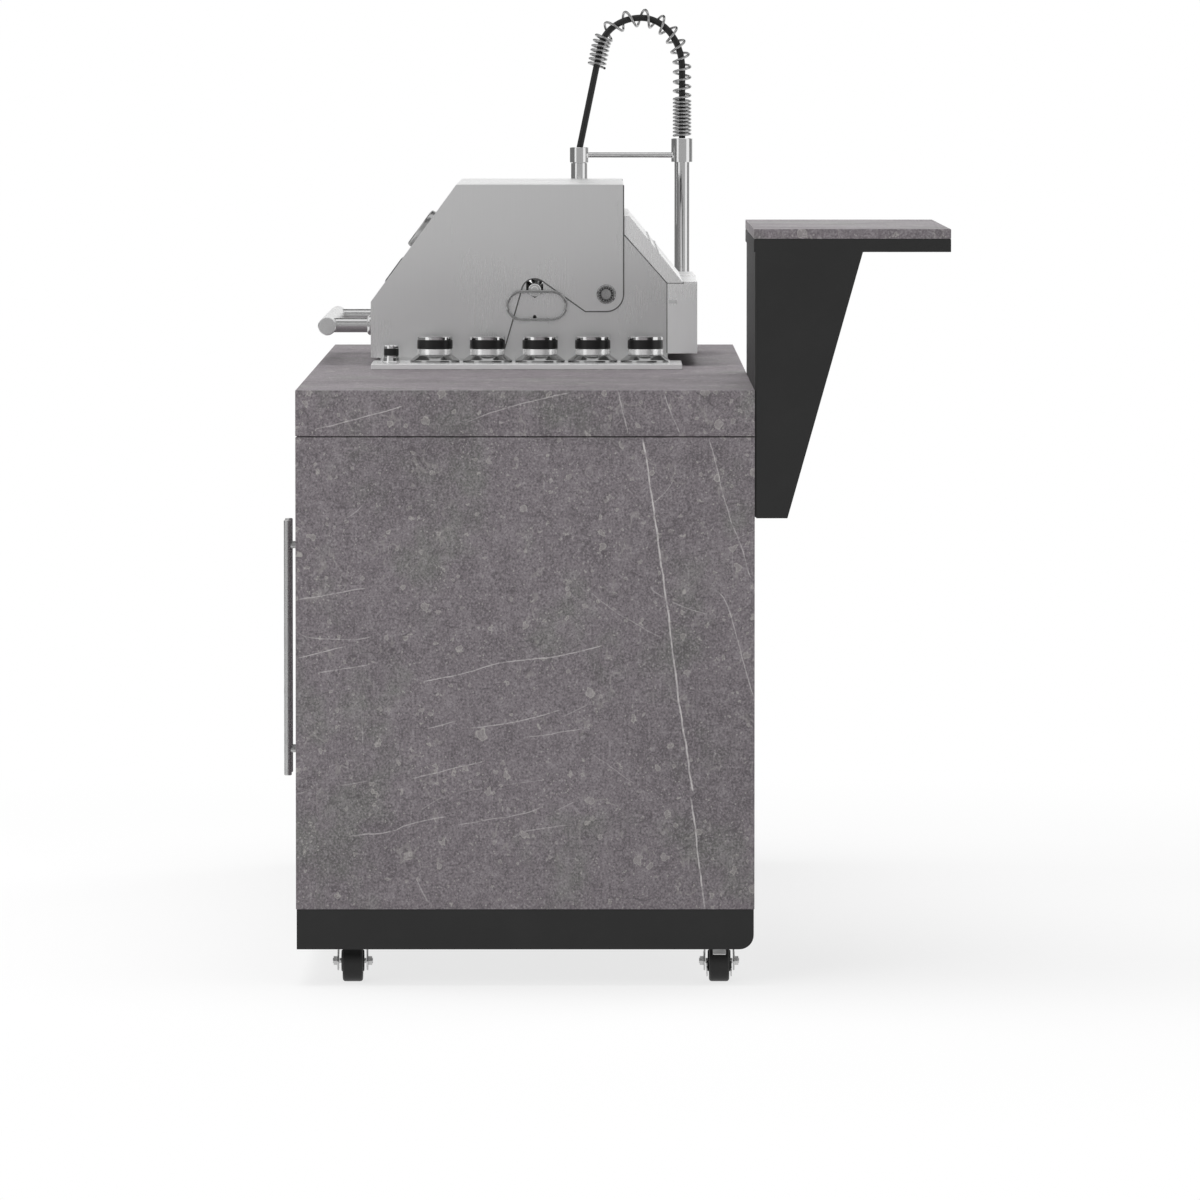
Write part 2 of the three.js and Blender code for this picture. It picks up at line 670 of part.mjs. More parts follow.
function buildFirebox() {
	const rimZ = worktopHeight + fit;
	const tub = block(fixedFarX, fixedNearX, tubFrontY, tubRearY, tubBottomZ, rimTop);
	const rim = block(fixedFarX - rimWidth, deckFarX - 2 * fit, tubFrontY - rimWidth, tubRearY + rimSheet,
		rimZ, rimTop);
	const cavity = block(fixedFarX + tubSheet, fixedNearX - tubSheet, tubFrontY + tubSheet,
		tubRearY - tubSheet, tubBottomZ + tubSheet, hoodTopZ);
	const side = new THREE.Shape();
	side.moveTo(tubFrontY, rimZ);
	side.lineTo(tubRearY, rimZ);
	side.lineTo(tubRearY, sideShoulderZ);
	side.lineTo(sidePeakY, sidePeakZ);
	side.lineTo(archY + notchHalfWidth + archRadius, sidePeakZ);
	side.lineTo(archY + notchHalfWidth, archZ + archRadius);
	side.lineTo(archY + notchHalfWidth, notchApexZ + notchDepth);
	side.lineTo(archY, notchApexZ);
	side.lineTo(archY - notchHalfWidth, notchApexZ + notchDepth);
	side.lineTo(archY - notchHalfWidth, archZ + archRadius);
	side.lineTo(hoodRidgeY, archZ + archRadius);
	side.lineTo(tubFrontY, sideFrontZ);
	const sides = [fixedFarX, fixedNearX - tubSheet].map((x) => alongX(side, x, x + tubSheet));
	const frontLip = block(fixedFarX, fixedNearX, tubFrontY, tubFrontY + tubSheet, rimZ, hoodBottomZ + rimWidth);
	const backWall = block(fixedFarX, fixedNearX, tubRearY - tubSheet, tubRearY, rimZ, sideShoulderZ);
	const ledgeTop = grateBottom - fit;
	const ledges = [tubFrontY + tubSheet / 2, tubRearY - tubSheet / 2 - grateLedge].map((y) =>
		block(fixedFarX, fixedNearX, y, y + grateLedge, ledgeTop - tubSheet, ledgeTop));
	const burnerHoles = knobYs.map((y) => bore(burnerDiameter + 2 * fit, tubSheet + 2 * overrun,
		[fixedNearX - overrun - tubSheet, y, burnerZ], [1, 0, 0], pipeSides));
	const vents = [fixedNearX - tubSheet - overrun, fixedFarX - overrun].map((x) =>
		bore(ventDiameter, tubSheet + 2 * overrun, [x, archY, notchApexZ - ventDrop], [1, 0, 0]));
	const pins = [fixedNearX - tubSheet - overrun, fixedFarX - overrun].map((x) =>
		bore(hingePinDiameter + 2 * fit, tubSheet + 2 * overrun, [x, pivotY, pivotZ], [1, 0, 0]));
	const tubCentreY = (tubFrontY + tubRearY) / 2;
	const greaseHole = block(hoodCentreX - greaseHoleLength / 2, hoodCentreX + greaseHoleLength / 2,
		tubCentreY - greaseHoleWidth / 2, tubCentreY + greaseHoleWidth / 2,
		tubBottomZ - overrun, tubBottomZ + tubSheet + overrun);
	const body = join(cut(join(tub, rim), cavity), ...sides, frontLip, backWall, ...ledges);
	place('firebox', cut(body, ...burnerHoles, ...vents, ...pins, greaseHole), finishes.steel);
}

// Side of the hood: front, slant, top, then round the hinge lobe and the spit arch.
function hoodSide() {
	const side = new THREE.Shape();
	side.moveTo(hoodFrontY, hoodBottomZ);
	side.lineTo(skirtFootY, hoodBottomZ);
	side.absarc(archY, archZ, archRadius, THREE.MathUtils.degToRad(archEndAngle),
		THREE.MathUtils.degToRad(archStartAngle), true);
	side.lineTo(lobeFrontY, pivotZ - lobeRadius);
	side.absarc(pivotY, pivotZ, lobeRadius, -Math.PI / 2, 0);
	side.lineTo(hoodRearY, hoodTopZ);
	side.lineTo(hoodRidgeY, hoodTopZ);
	side.lineTo(hoodFrontY, hoodFrontTopZ);
	return side;
}

function buildHood() {
	const slant = Math.hypot(hoodRidgeY - hoodFrontY, hoodTopZ - hoodFrontTopZ);
	const slantRun = hoodSheet * (hoodTopZ - hoodFrontTopZ) / slant;
	const slantRise = hoodSheet * (hoodRidgeY - hoodFrontY) / slant;
	const inside = outline([
		[hoodFrontY + hoodSheet, hoodBottomZ - overrun], [hoodRearY + overrun, hoodBottomZ - overrun],
		[hoodRearY + overrun, hoodTopZ - hoodSheet], [hoodRidgeY + slantRun / 2, hoodTopZ - hoodSheet],
		[hoodFrontY + hoodSheet, hoodFrontTopZ - slantRise / 2],
	]);
	const shell = cut(alongX(hoodSide(), grillX - hoodWidth, grillX, smallSides),
		alongX(inside, grillX - hoodWidth + hoodSheet, grillX - hoodSheet));
	const holes = bore(hingePinDiameter + 2 * fit, hoodWidth + 2 * overrun,
		[grillX - hoodWidth - overrun, pivotY, pivotZ], [1, 0, 0], roundSides);
	place('hood', cut(shell, holes), finishes.steel);

	const ends = [[grillX, 1], [grillX - hoodWidth, -1]].map(([x, way]) => stand(turned([
		[0, -hoodRunningGap], [hingePinDiameter / 2, -hoodRunningGap], [hingePinDiameter / 2, fit],
		[hingeRingDiameter / 2, fit], [hingeRingDiameter / 2 - fit, hingeRingHeight / 2],
		[hingeCapDiameter / 2, hingeRingHeight], [0, hingeRingHeight],
	]), [x, pivotY, pivotZ], [way, 0, 0]));
	const rodBody = rod(hingePinDiameter, hoodWidth, [grillX - hoodWidth, pivotY, pivotZ], [1, 0, 0], roundSides);
	place('hood_hinge_rod', join(rodBody, ...ends), finishes.chrome);

	const barY = hoodFrontY - hoodHandleReach;
	const barX = hoodCentreX - hoodHandleLength / 2;
	const bar = rod(hoodHandleDiameter, hoodHandleLength, [barX, barY, hoodHandleZ], [1, 0, 0], roundSides);
	const posts = [-1, 1].map((end) => stand(turned([
		[0, fit], [hoodFootDiameter / 2, fit], [hoodFootDiameter / 2, hoodFootHeight / 2],
		[hoodPostDiameter / 2, hoodFootHeight], [hoodPostDiameter / 2, hoodHandleReach], [0, hoodHandleReach],
	], smallSides), [hoodCentreX + end * (hoodHandleLength / 2 - hoodPostInset), hoodFrontY, hoodHandleZ],
	[0, -1, 0]));
	place('hood_handle', join(bar, ...posts), finishes.steel);

	const along = new THREE.Vector2(hoodRidgeY - hoodFrontY, hoodTopZ - hoodFrontTopZ).normalize();
	const gaugeY = hoodRidgeY - along.x * gaugeDrop;
	const gaugeZ = hoodTopZ - along.y * gaugeDrop;
	const gauge = turned([
		[0, fit], [gaugeDiameter / 2, fit], [gaugeDiameter / 2, gaugeHeight - gaugeRim / 2],
		[gaugeDiameter / 2 - gaugeRim / 2, gaugeHeight], [gaugeDiameter / 2 - gaugeRim, gaugeHeight],
		[gaugeDiameter / 2 - gaugeRim, gaugeHeight - gaugeRim / 2], [0, gaugeHeight - gaugeRim / 2],
	]);
	place('thermometer', stand(gauge, [hoodCentreX, gaugeY, gaugeZ], [0, -along.y, along.x]), finishes.chrome);
}

// The housing behind the hood: a sloped cover over the side plates' rear edges and a box below it.
function buildRearHousing() {
	const coverBottom = sideShoulderZ + coverRise;
	const cover = outline([
		[sidePeakY, sidePeakZ + coverRise], [tubRearY, coverBottom], [tubRearY + coverReach, coverBottom],
		[sidePeakY + coverTopWidth, coverTopZ], [sidePeakY, coverTopZ],
	]);
	const boxFrontY = tubRearY + fit;
	const boxRearY = boxFrontY + rearBoxDepth;
	const boxTop = coverBottom + tubSheet;
	const box = cut(
		block(fixedFarX, fixedNearX, boxFrontY, boxRearY, rearBoxBottomZ, boxTop),
		block(fixedFarX + tubSheet, fixedNearX - tubSheet, boxFrontY + tubSheet, boxRearY - tubSheet,
			rearBoxBottomZ - overrun, coverBottom));
	place('rear_housing', join(alongX(cover, fixedFarX, fixedNearX), box), finishes.steel);
}

function buildControls() {
	const deckBottom = worktopHeight + fit;
	const holeDiameter = knobStemDiameter + 2 * fit;
	const stemHoles = [...knobYs, igniterY].map((y) =>
		bore(holeDiameter, knobHeight + overrun, [knobX, y, deckBottom - overrun], [0, 0, 1]));
	const plate = block(deckFarX, deckNearX, deckFrontY, deckRearY, deckBottom, deckTop);
	const up = [0, 0, 1];
	const bezels = knobYs.map((y) => stand(turned([
		[0, -deckSheet / 2], [bezelDiameter / 2, -deckSheet / 2], [bezelDiameter / 2, bezelHeight / 4],
		[knobDiameter / 2, bezelHeight], [0, bezelHeight],
	]), [knobX, y, deckTop], up));
	const igniterCup = igniterDiameter / 2 + fit;
	const igniterRing = stand(turned([
		[0, -deckSheet / 2], [igniterFlangeDiameter / 2, -deckSheet / 2],
		[igniterFlangeDiameter / 2, igniterFlangeHeight], [igniterCup, igniterFlangeHeight],
		[igniterCup, fit], [0, fit],
	]), [knobX, igniterY, deckTop], up);
	place('control_deck', cut(join(plate, ...bezels, igniterRing), ...stemHoles), finishes.steel);

	const radius = knobDiameter / 2;
	const stem = knobStemDiameter / 2;
	const knobProfile = [
		[0, -deckSheet], [stem, -deckSheet], [stem, bezelHeight + fit], [radius, bezelHeight + fit],
		[radius, knobHeight], [0, knobHeight],
	];
	knobYs.forEach((y, index) => {
		const mark = block(knobX - knobMarkWidth / 2, knobX + knobMarkWidth / 2, y, y + radius + overrun,
			deckTop + knobHeight - knobMarkDepth, deckTop + knobHeight + overrun);
		place(`knob_${index + 1}`, cut(stand(turned(knobProfile), [knobX, y, deckTop], up), mark), finishes.chrome);
	});

	const buttonFoot = igniterTravel + 2 * fit;
	place('igniter_button', stand(turned([
		[0, -deckSheet], [stem, -deckSheet], [stem, buttonFoot], [igniterDiameter / 2, buttonFoot],
		[igniterDiameter / 2, igniterHeight], [0, igniterHeight],
	]), [knobX, igniterY, deckTop], up), finishes.chrome);
}

function buildGasTrain() {
	const tubeEnd = knobX - valveDiameter / 2 - fit;
	const tubeStart = fixedFarX + tubSheet + fit;
	const tubes = knobYs.map((y) =>
		rod(burnerDiameter, tubeEnd - tubeStart, [tubeStart, y, burnerZ], [1, 0, 0], pipeSides));
	const last = knobYs[knobCount - 1];
	const crossover = rod(valveStubDiameter, last - knobYs[0], [tubeStart + burnerDiameter, knobYs[0], burnerZ],
		[0, 1, 0], pipeSides);
	place('burner_set', join(crossover, ...tubes), finishes.steel);
	const valves = knobYs.flatMap((y) => [
		rod(valveDiameter, valveLength, [knobX, y, burnerZ - valveLength / 2], [0, 0, 1], pipeSides),
		rod(valveNeckDiameter, worktopHeight - burnerZ, [knobX, y, burnerZ], [0, 0, 1], pipeSides),
		rod(valveStubDiameter, manifoldOffset, [knobX, y, burnerZ], [1, 0, 0], pipeSides),
	]);
	const pipeStart = knobYs[0] - manifoldOverhang;
	const pipeLength = last + manifoldOverhang - pipeStart;
	const pipe = rod(manifoldDiameter, pipeLength, [knobX + manifoldOffset, pipeStart, burnerZ], [0, 1, 0],
		pipeSides);
	place('gas_manifold', join(pipe, ...valves), finishes.brass);
}

function buildGrates() {
	const span = (fixedNearX - fixedFarX - 2 * tubSheet) / grateCount;
	const y0 = tubFrontY + tubSheet + fit;
	const y1 = tubRearY - tubSheet - fit;
	for (let index = 0; index < grateCount; index += 1) {
		const x0 = fixedFarX + tubSheet + index * span + fit;
		const x1 = x0 + span - 2 * fit;
		const z1 = grateBottom + grateThickness;
		const pitch = (x1 - x0 - 2 * grateBorder + grateBar) / grateSlots;
		const slots = Array.from({ length: grateSlots }, (_unused, slot) => {
			const left = x0 + grateBorder + slot * pitch;
			return block(left, left + pitch - grateBar, y0 + grateBorder, y1 - grateBorder,
				grateBottom - overrun, z1 + overrun);
		});
		place(`cooking_grate_${index + 1}`, cut(block(x0, x1, y0, y1, grateBottom, z1), ...slots), finishes.iron);
	}
}

function buildSpit() {
	const farCollar = fixedFarX + tubSheet / 2 - spitCollarLength / 2;
	const nearCollar = fixedNearX - tubSheet / 2 - spitCollarLength / 2;
	const start = farCollar - spitTip;
	const end = nearCollar + spitCollarLength + spitTip;
	const axis = [1, 0, 0];
	place('spit_rod', join(
		rod(spitRodDiameter, end - start, [start, archY, spitZ], axis, roundSides),
		rod(spitCollarDiameter, spitCollarLength, [farCollar, archY, spitZ], axis, roundSides),
		rod(spitCollarDiameter, spitCollarLength, [nearCollar, archY, spitZ], axis, roundSides)),
	finishes.steel);
}

// A tube swept through points, either a closed ring or one with flat ends.
function sweep(points, diameter, sides, closed = false) {
	const count = points.length;
	const tangents = points.map((_, index) => {
		const before = points[closed ? (index + count - 1) % count : Math.max(index - 1, 0)];
		const after = points[closed ? (index + 1) % count : Math.min(index + 1, count - 1)];
		return after.clone().sub(before).normalize();
	});
	const normal = new THREE.Vector3(1, 0, 0);
	if (Math.abs(tangents[0].x) > Math.SQRT1_2) normal.set(0, 1, 0);
	const vertices = [];
	points.forEach((point, index) => {
		const tangent = tangents[index];
		normal.addScaledVector(tangent, -normal.dot(tangent)).normalize();
		const side = tangent.clone().cross(normal);
		for (let corner = 0; corner < sides; corner += 1) {
			const angle = 2 * Math.PI * corner / sides;
			const offset = normal.clone().multiplyScalar(Math.cos(angle)).addScaledVector(side, Math.sin(angle));
			vertices.push(point.clone().addScaledVector(offset, diameter / 2));
		}
	});
	const faces = [];
	const rings = closed ? count : count - 1;
	for (let ring = 0; ring < rings; ring += 1) {
		for (let corner = 0; corner < sides; corner += 1) {
			const next = (corner + 1) % sides;
			const a = ring * sides + corner;
			const b = ring * sides + next;
			const c = ((ring + 1) % count) * sides + next;
			const d = ((ring + 1) % count) * sides + corner;
			faces.push(a, b, c, a, c, d);
		}
	}
	if (!closed) {
		const last = (count - 1) * sides;
		for (let corner = 1; corner < sides - 1; corner += 1) {
			faces.push(0, corner + 1, corner, last, last + corner, last + corner + 1);
		}
	}
	const geometry = new THREE.BufferGeometry().setFromPoints(vertices);
	geometry.setIndex(faces);
	return geometry;
}

function buildSideLoop() {
	const radius = (loopHeight - loopWire) / 2;
	const straight = (loopLength - loopHeight) / 2;
	const x = fixedNearX + loopStandoff;
	const points = [];
	for (const end of [1, -1]) {
		for (let step = 0; step <= smallSides; step += 1) {
			const angle = Math.PI * (step / smallSides - 1 / 2) + (end > 0 ? 0 : Math.PI);
			points.push(new THREE.Vector3(x, loopCentreY + end * straight + radius * Math.cos(angle),
				loopCentreZ + radius * Math.sin(angle)));
		}
	}
	const studs = [
		[loopUpperStudY, loopCentreZ + radius],
		[loopCentreY - loopLowerStudSpread, loopCentreZ - radius],
		[loopCentreY + loopLowerStudSpread, loopCentreZ - radius],
	].map(([y, z]) => rod(loopWire, loopStandoff - fit, [fixedNearX + fit, y, z], [1, 0, 0], pipeSides));
	place('side_loop', join(solidOf(sweep(points, loopWire, pipeSides, true)), ...studs), finishes.chrome);
}

// Sink and faucet

function buildSink() {
	const top = slabBottom - fit;
	const bottom = top - bowlHeight;
	const flange = alongZ(bowlOutline(bowlFlange), top - bowlSheet, top);
	const body = alongZ(bowlOutline(bowlSheet), bottom, top);
	const hollow = alongZ(bowlOutline(0), bottom + bowlSheet, top + overrun);
	const drain = bore(basketDiameter + 2 * fit, bowlSheet + 2 * overrun,
		[tapX, bowlCentreY, bottom - overrun], [0, 0, 1], roundSides);
	place('sink_bowl', cut(join(flange, body), hollow, drain), finishes.steel);

	const basket = basketDiameter / 2;
	const tail = tailDiameter / 2;
	const strainer = turned([
		[0, strainerSheet - basketDepth], [basket - strainerSheet, strainerSheet - basketDepth],
		[basket - strainerSheet, strainerSheet], [strainerDiameter / 2, strainerSheet],
		[strainerDiameter / 2, fit], [basket, fit], [basket, -basketDepth], [tail, -basketDepth],
		[tail, -basketDepth - tailLength], [0, -basketDepth - tailLength],
	].reverse());
	place('sink_strainer', stand(strainer, [tapX, bowlCentreY, bottom + bowlSheet], [0, 0, 1]), finishes.chrome);
}

// The hose's centre line: up from the column, over an arch that is tighter at its far side, then straight
// down into the holder.
function hoseRoute() {
	const centreY = (faucetY + hoseFallY) / 2;
	const halfSpan = (faucetY - hoseFallY) / 2;
	const archTopZ = archStartZ + hoseArchRise;
	const fallCentreZ = archTopZ - hoseFallRise;
	const quarter = Math.PI / 2;
	const inPlane = (y, z) => new THREE.Vector3(tapX, y, z);
	const rise = new THREE.Curve();
	rise.getPoint = (share) => inPlane(centreY + halfSpan * Math.cos(quarter * share),
		archStartZ + hoseArchRise * Math.sin(quarter * share));

	// The straight stretch is the tangent to the far quarter from the hose's end.
	const seatZ = holderTopZ - hoseSeatDepth;
	const seatAcross = (holderY - centreY) / halfSpan;
	const seatDown = (seatZ - fallCentreZ) / hoseFallRise;
	const seatAngle = Math.atan2(seatDown, seatAcross) + 2 * Math.PI;
	const leaveAngle = seatAngle - Math.acos(1 / Math.hypot(seatAcross, seatDown));
	const fall = new THREE.Curve();
	fall.getPoint = (share) => {
		const angle = quarter + (leaveAngle - quarter) * share;
		return inPlane(centreY + halfSpan * Math.cos(angle), fallCentreZ + hoseFallRise * Math.sin(angle));
	};
	const route = new THREE.CurvePath();
	route.add(new THREE.LineCurve3(inPlane(faucetY, sleeveTopZ + fit), inPlane(faucetY, archStartZ)));
	route.add(rise);
	route.add(fall);
	route.add(new THREE.LineCurve3(fall.getPoint(1), inPlane(holderY, seatZ)));
	return route;
}

// The spring's wire: close turns on the column, open turns over the arch, close turns at its end,
// with a short straight lead at both ends.
function springPoints(route) {
	const springEnd = route.getCurveLengths()[2] + upperCoilDrop;
	const coilLength = springEnd - 2 * springWire;
	const openLength = coilLength - lowerCoilLength - upperCoilLength;
	const turns = lowerTurns + openTurns + upperTurns;
	const radius = (springDiameter - springWire) / 2;
	const arcAtTurn = (turn) => {
		if (turn <= lowerTurns) return lowerCoilLength * turn / lowerTurns;
		if (turn >= lowerTurns + openTurns) {
			return coilLength - upperCoilLength * (turns - turn) / upperTurns;
		}
		const share = (turn - lowerTurns) / openTurns;
		return lowerCoilLength + openLength * ((1 + pitchGrowthShare) ** share - 1) / pitchGrowthShare;
	};
	const pointAt = (arc, turn) => {
		const at = arc / route.getLength();
		const tangent = route.getTangentAt(at);
		const across = new THREE.Vector3(1, 0, 0);
		const normal = across.clone().cross(tangent);
		const angle = 2 * Math.PI * turn;
		return route.getPointAt(at).addScaledVector(normal, radius * Math.cos(angle))
			.addScaledVector(across, radius * Math.sin(angle));
	};
	const points = [pointAt(0, 0)];
	for (let step = 0; step <= turns * springSteps; step += 1) {
		const turn = step / springSteps;
		points.push(pointAt(springWire + arcAtTurn(turn), turn));
	}
	points.push(pointAt(springEnd, turns));
	return points;
}

// Least free gap between turns of a wound wire, measured on points along it.
function leastSelfGap(points, diameter, stepsPerTurn) {
	let least = Infinity;
	const line = new THREE.Line3();
	const nearest = new THREE.Vector3();
	points.forEach((point, index) => {
		for (let other = index + Math.ceil(stepsPerTurn / 2) + 1; other < points.length - 1; other += 1) {
			if (other > index + 2 * stepsPerTurn) break;
			line.set(points[other], points[other + 1]);
			line.closestPointToPoint(point, true, nearest);
			least = Math.min(least, nearest.distanceTo(point) - diameter);
		}
	});
	return least;
}

function buildFaucet() {
	const up = [0, 0, 1];
	const foot = worktopHeight + fit;
	const baseTop = worktopHeight + faucetBaseHeight;
	const base = faucetBaseDiameter / 2;
	const shank = faucetShankDiameter / 2;
	const socketRadius = columnSpigot / 2 + fit;
	const body = turned([
		[0, foot - faucetShankLength], [shank, foot - faucetShankLength], [shank, foot], [base, foot],
		[base, baseTop], [socketRadius, baseTop], [socketRadius, baseTop - columnSpigotDrop - fit],
		[0, baseTop - columnSpigotDrop - fit],
	]);
	const boss = rod(leverBossDiameter, leverBossReach, [tapX, faucetY, leverZ], [1, 0, 0], roundSides);
	const spindleHole = bore(leverSpindleDiameter + 2 * fit, leverBossReach,
		[tapX + leverBossReach - leverSpindleLength - fit, faucetY, leverZ], [1, 0, 0]);
	place('faucet_base', cut(join(stand(body, [tapX, faucetY, 0], up), boss), spindleHole), finishes.chrome);

	const hubX = tapX + leverBossReach + fit;
	place('faucet_lever', join(
		rod(leverHubDiameter, leverHubReach, [hubX, faucetY, leverZ], [1, 0, 0], roundSides),
		rod(leverSpindleDiameter, leverSpindleLength + fit, [hubX - leverSpindleLength, faucetY, leverZ],
			[1, 0, 0]),
		rod(leverDiameter, leverLength, [hubX + leverHubReach / 2, faucetY, leverZ], [0, -1, 0])),
	finishes.chrome);

	const column = columnDiameter / 2;
	const sleeve = sleeveDiameter / 2;
	const spigot = columnSpigot / 2;
	const post = turned([
		[0, baseTop - columnSpigotDrop], [spigot, baseTop - columnSpigotDrop], [spigot, baseTop + fit],
		[column, baseTop + fit], [column, columnTopZ], [sleeve, columnTopZ],
		[sleeve, sleeveTopZ], [0, sleeveTopZ],
	]);
	const holder = rod(holderDiameter, holderTopZ - holderBottomZ, [tapX, holderY, holderBottomZ],
		up, roundSides);
	const arm = rod(armDiameter, faucetY - holderY, [tapX, faucetY, armZ], [0, -1, 0]);
	const socket = bore(sprayNeckDiameter + 2 * fit, holderTopZ, [tapX, holderY, foot], up, roundSides);
	place('faucet_column', cut(join(stand(post, [tapX, faucetY, 0], up), arm, holder), socket), finishes.chrome);

	const neck = sprayNeckDiameter / 2;
	const spray = sprayDiameter / 2;
	const sprayTop = holderBottomZ - fit;
	const sprayBottom = sprayTop - sprayLength;
	const route = hoseRoute();
	const hoseTilt = new THREE.Vector3(0, 0, -1).angleTo(route.getTangent(1));
	const neckTop = holderTopZ - hoseSeatDepth - hoseDiameter / 2 * Math.sin(hoseTilt) - fit;
	place('spray_head', stand(turned([
		[0, sprayBottom], [sprayFlareDiameter / 2, sprayBottom],
		[sprayFlareDiameter / 2, sprayBottom + sprayFlareLength],
		[spray, sprayBottom + sprayFlareLength + sprayTaperLength],
		[spray, sprayTop], [neck, sprayTop], [neck, neckTop], [0, neckTop],
	]), [tapX, holderY, 0], up), finishes.chrome);

	const section = new THREE.Shape();
	section.absarc(0, 0, hoseDiameter / 2, 0, 2 * Math.PI);
	const hose = new THREE.ExtrudeGeometry(section, {
		steps: hoseSteps, extrudePath: route, bevelEnabled: false, curveSegments: hoseSides / 2,
	});
	place('faucet_hose', solidOf(hose), finishes.rubber);
	const wire = springPoints(route);
	place('faucet_spring', sweep(wire, springWire, springSides), finishes.chrome);
	console.log(`faucet spring: least gap to itself ${leastSelfGap(wire, springWire, springSteps).toFixed(2)} mm`);
}

buildWorktop();
buildPanels();
buildDividers();
buildPlinth();
buildFloor();
buildDoorFrame();
buildDoors();
buildCasters();
buildBar();
buildFirebox();
buildHood();
buildRearHousing();
buildControls();
buildGasTrain();
buildGrates();
buildSpit();
buildSideLoop();
buildSink();
buildFaucet();

// The origin lies on the ground, under the middle of the whole island.
const frontReach = frontY - handleStandoff - handleDiameter / 2;
const rearReach = halfDepth - barOverlap + barDepth;
island.position.y = -(frontReach + rearReach) / 2;

export default island;
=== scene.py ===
"""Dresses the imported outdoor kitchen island: finishes, finer shapes and a plain studio.

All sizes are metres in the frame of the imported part: +Z up, +X towards the bar end, -Y towards the cook.
"""

import json
import logging
import math
from abc import ABC, abstractmethod
from bisect import bisect_left
from collections.abc import Iterable
from dataclasses import dataclass, field
from enum import Enum
from itertools import pairwise

import bmesh
import bpy
from mathutils import Matrix, Vector

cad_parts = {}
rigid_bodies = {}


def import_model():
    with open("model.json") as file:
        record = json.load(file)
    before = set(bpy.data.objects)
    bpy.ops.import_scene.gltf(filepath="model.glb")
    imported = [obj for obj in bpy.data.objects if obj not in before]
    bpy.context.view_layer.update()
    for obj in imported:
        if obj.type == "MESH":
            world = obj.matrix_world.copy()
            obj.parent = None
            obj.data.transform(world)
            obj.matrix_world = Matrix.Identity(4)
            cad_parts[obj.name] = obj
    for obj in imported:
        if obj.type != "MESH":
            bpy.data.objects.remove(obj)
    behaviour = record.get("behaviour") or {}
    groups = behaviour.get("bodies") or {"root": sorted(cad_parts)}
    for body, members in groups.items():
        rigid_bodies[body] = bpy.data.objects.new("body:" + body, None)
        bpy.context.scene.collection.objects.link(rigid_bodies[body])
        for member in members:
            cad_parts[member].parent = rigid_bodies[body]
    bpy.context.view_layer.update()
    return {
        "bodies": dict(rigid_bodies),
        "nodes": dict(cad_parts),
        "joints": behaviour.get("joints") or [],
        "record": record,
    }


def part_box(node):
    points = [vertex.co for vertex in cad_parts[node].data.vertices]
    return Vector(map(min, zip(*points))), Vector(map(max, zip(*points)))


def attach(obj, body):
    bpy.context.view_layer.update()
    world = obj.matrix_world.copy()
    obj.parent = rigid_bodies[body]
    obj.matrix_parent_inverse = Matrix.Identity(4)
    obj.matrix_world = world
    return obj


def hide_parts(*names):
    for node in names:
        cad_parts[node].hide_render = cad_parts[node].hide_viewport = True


log = logging.getLogger("kitchen_island")

Point = tuple[float, float, float]
Pair = tuple[float, float]
Profile = tuple[Pair, ...]
Colour = tuple[float, float, float, float]
Shape = bmesh.types.BMesh
Socket = bpy.types.NodeSocket
Feed = Socket | float | Point | Colour

ROUND_SIDES = 64
THIN_SIDES = 24
WELD = 1e-5
FIT = 0.0003
UP: Point = (0, 0, 1)
DOWN: Point = (0, 0, -1)
TO_BAR: Point = (1, 0, 0)
TO_COOK: Point = (0, -1, 0)
TO_REAR: Point = (0, 1, 0)
SHARP = math.radians(32)
FLAT = math.radians(1)
WHITE: Colour = (1, 1, 1, 1)


class Slot(Enum):
    """The record's material slots, passed along with the new pieces but not used."""

    STONE = "fossil_stone"
    BAR_STONE = "bar_stone"
    PAINT = "black_paint"
    STEEL = "brushed_steel"
    CHROME = "chrome"
    ZINC = "zinc_plate"
    IRON = "cast_iron"
    RUBBER = "wheel_rubber"
    HOSE = "hose_rubber"


class Grain(Enum):
    """Stretch of a brushed finish's fine lines, along X, Y and Z."""

    UPRIGHT = (900.0, 900.0, 9.0)
    ALONG_X = (9.0, 900.0, 900.0)
    ALONG_Y = (900.0, 9.0, 900.0)


class CasterKind(Enum):
    """Casters come plain or with a brake."""

    PLAIN = "plain"
    BRAKED = "braked"


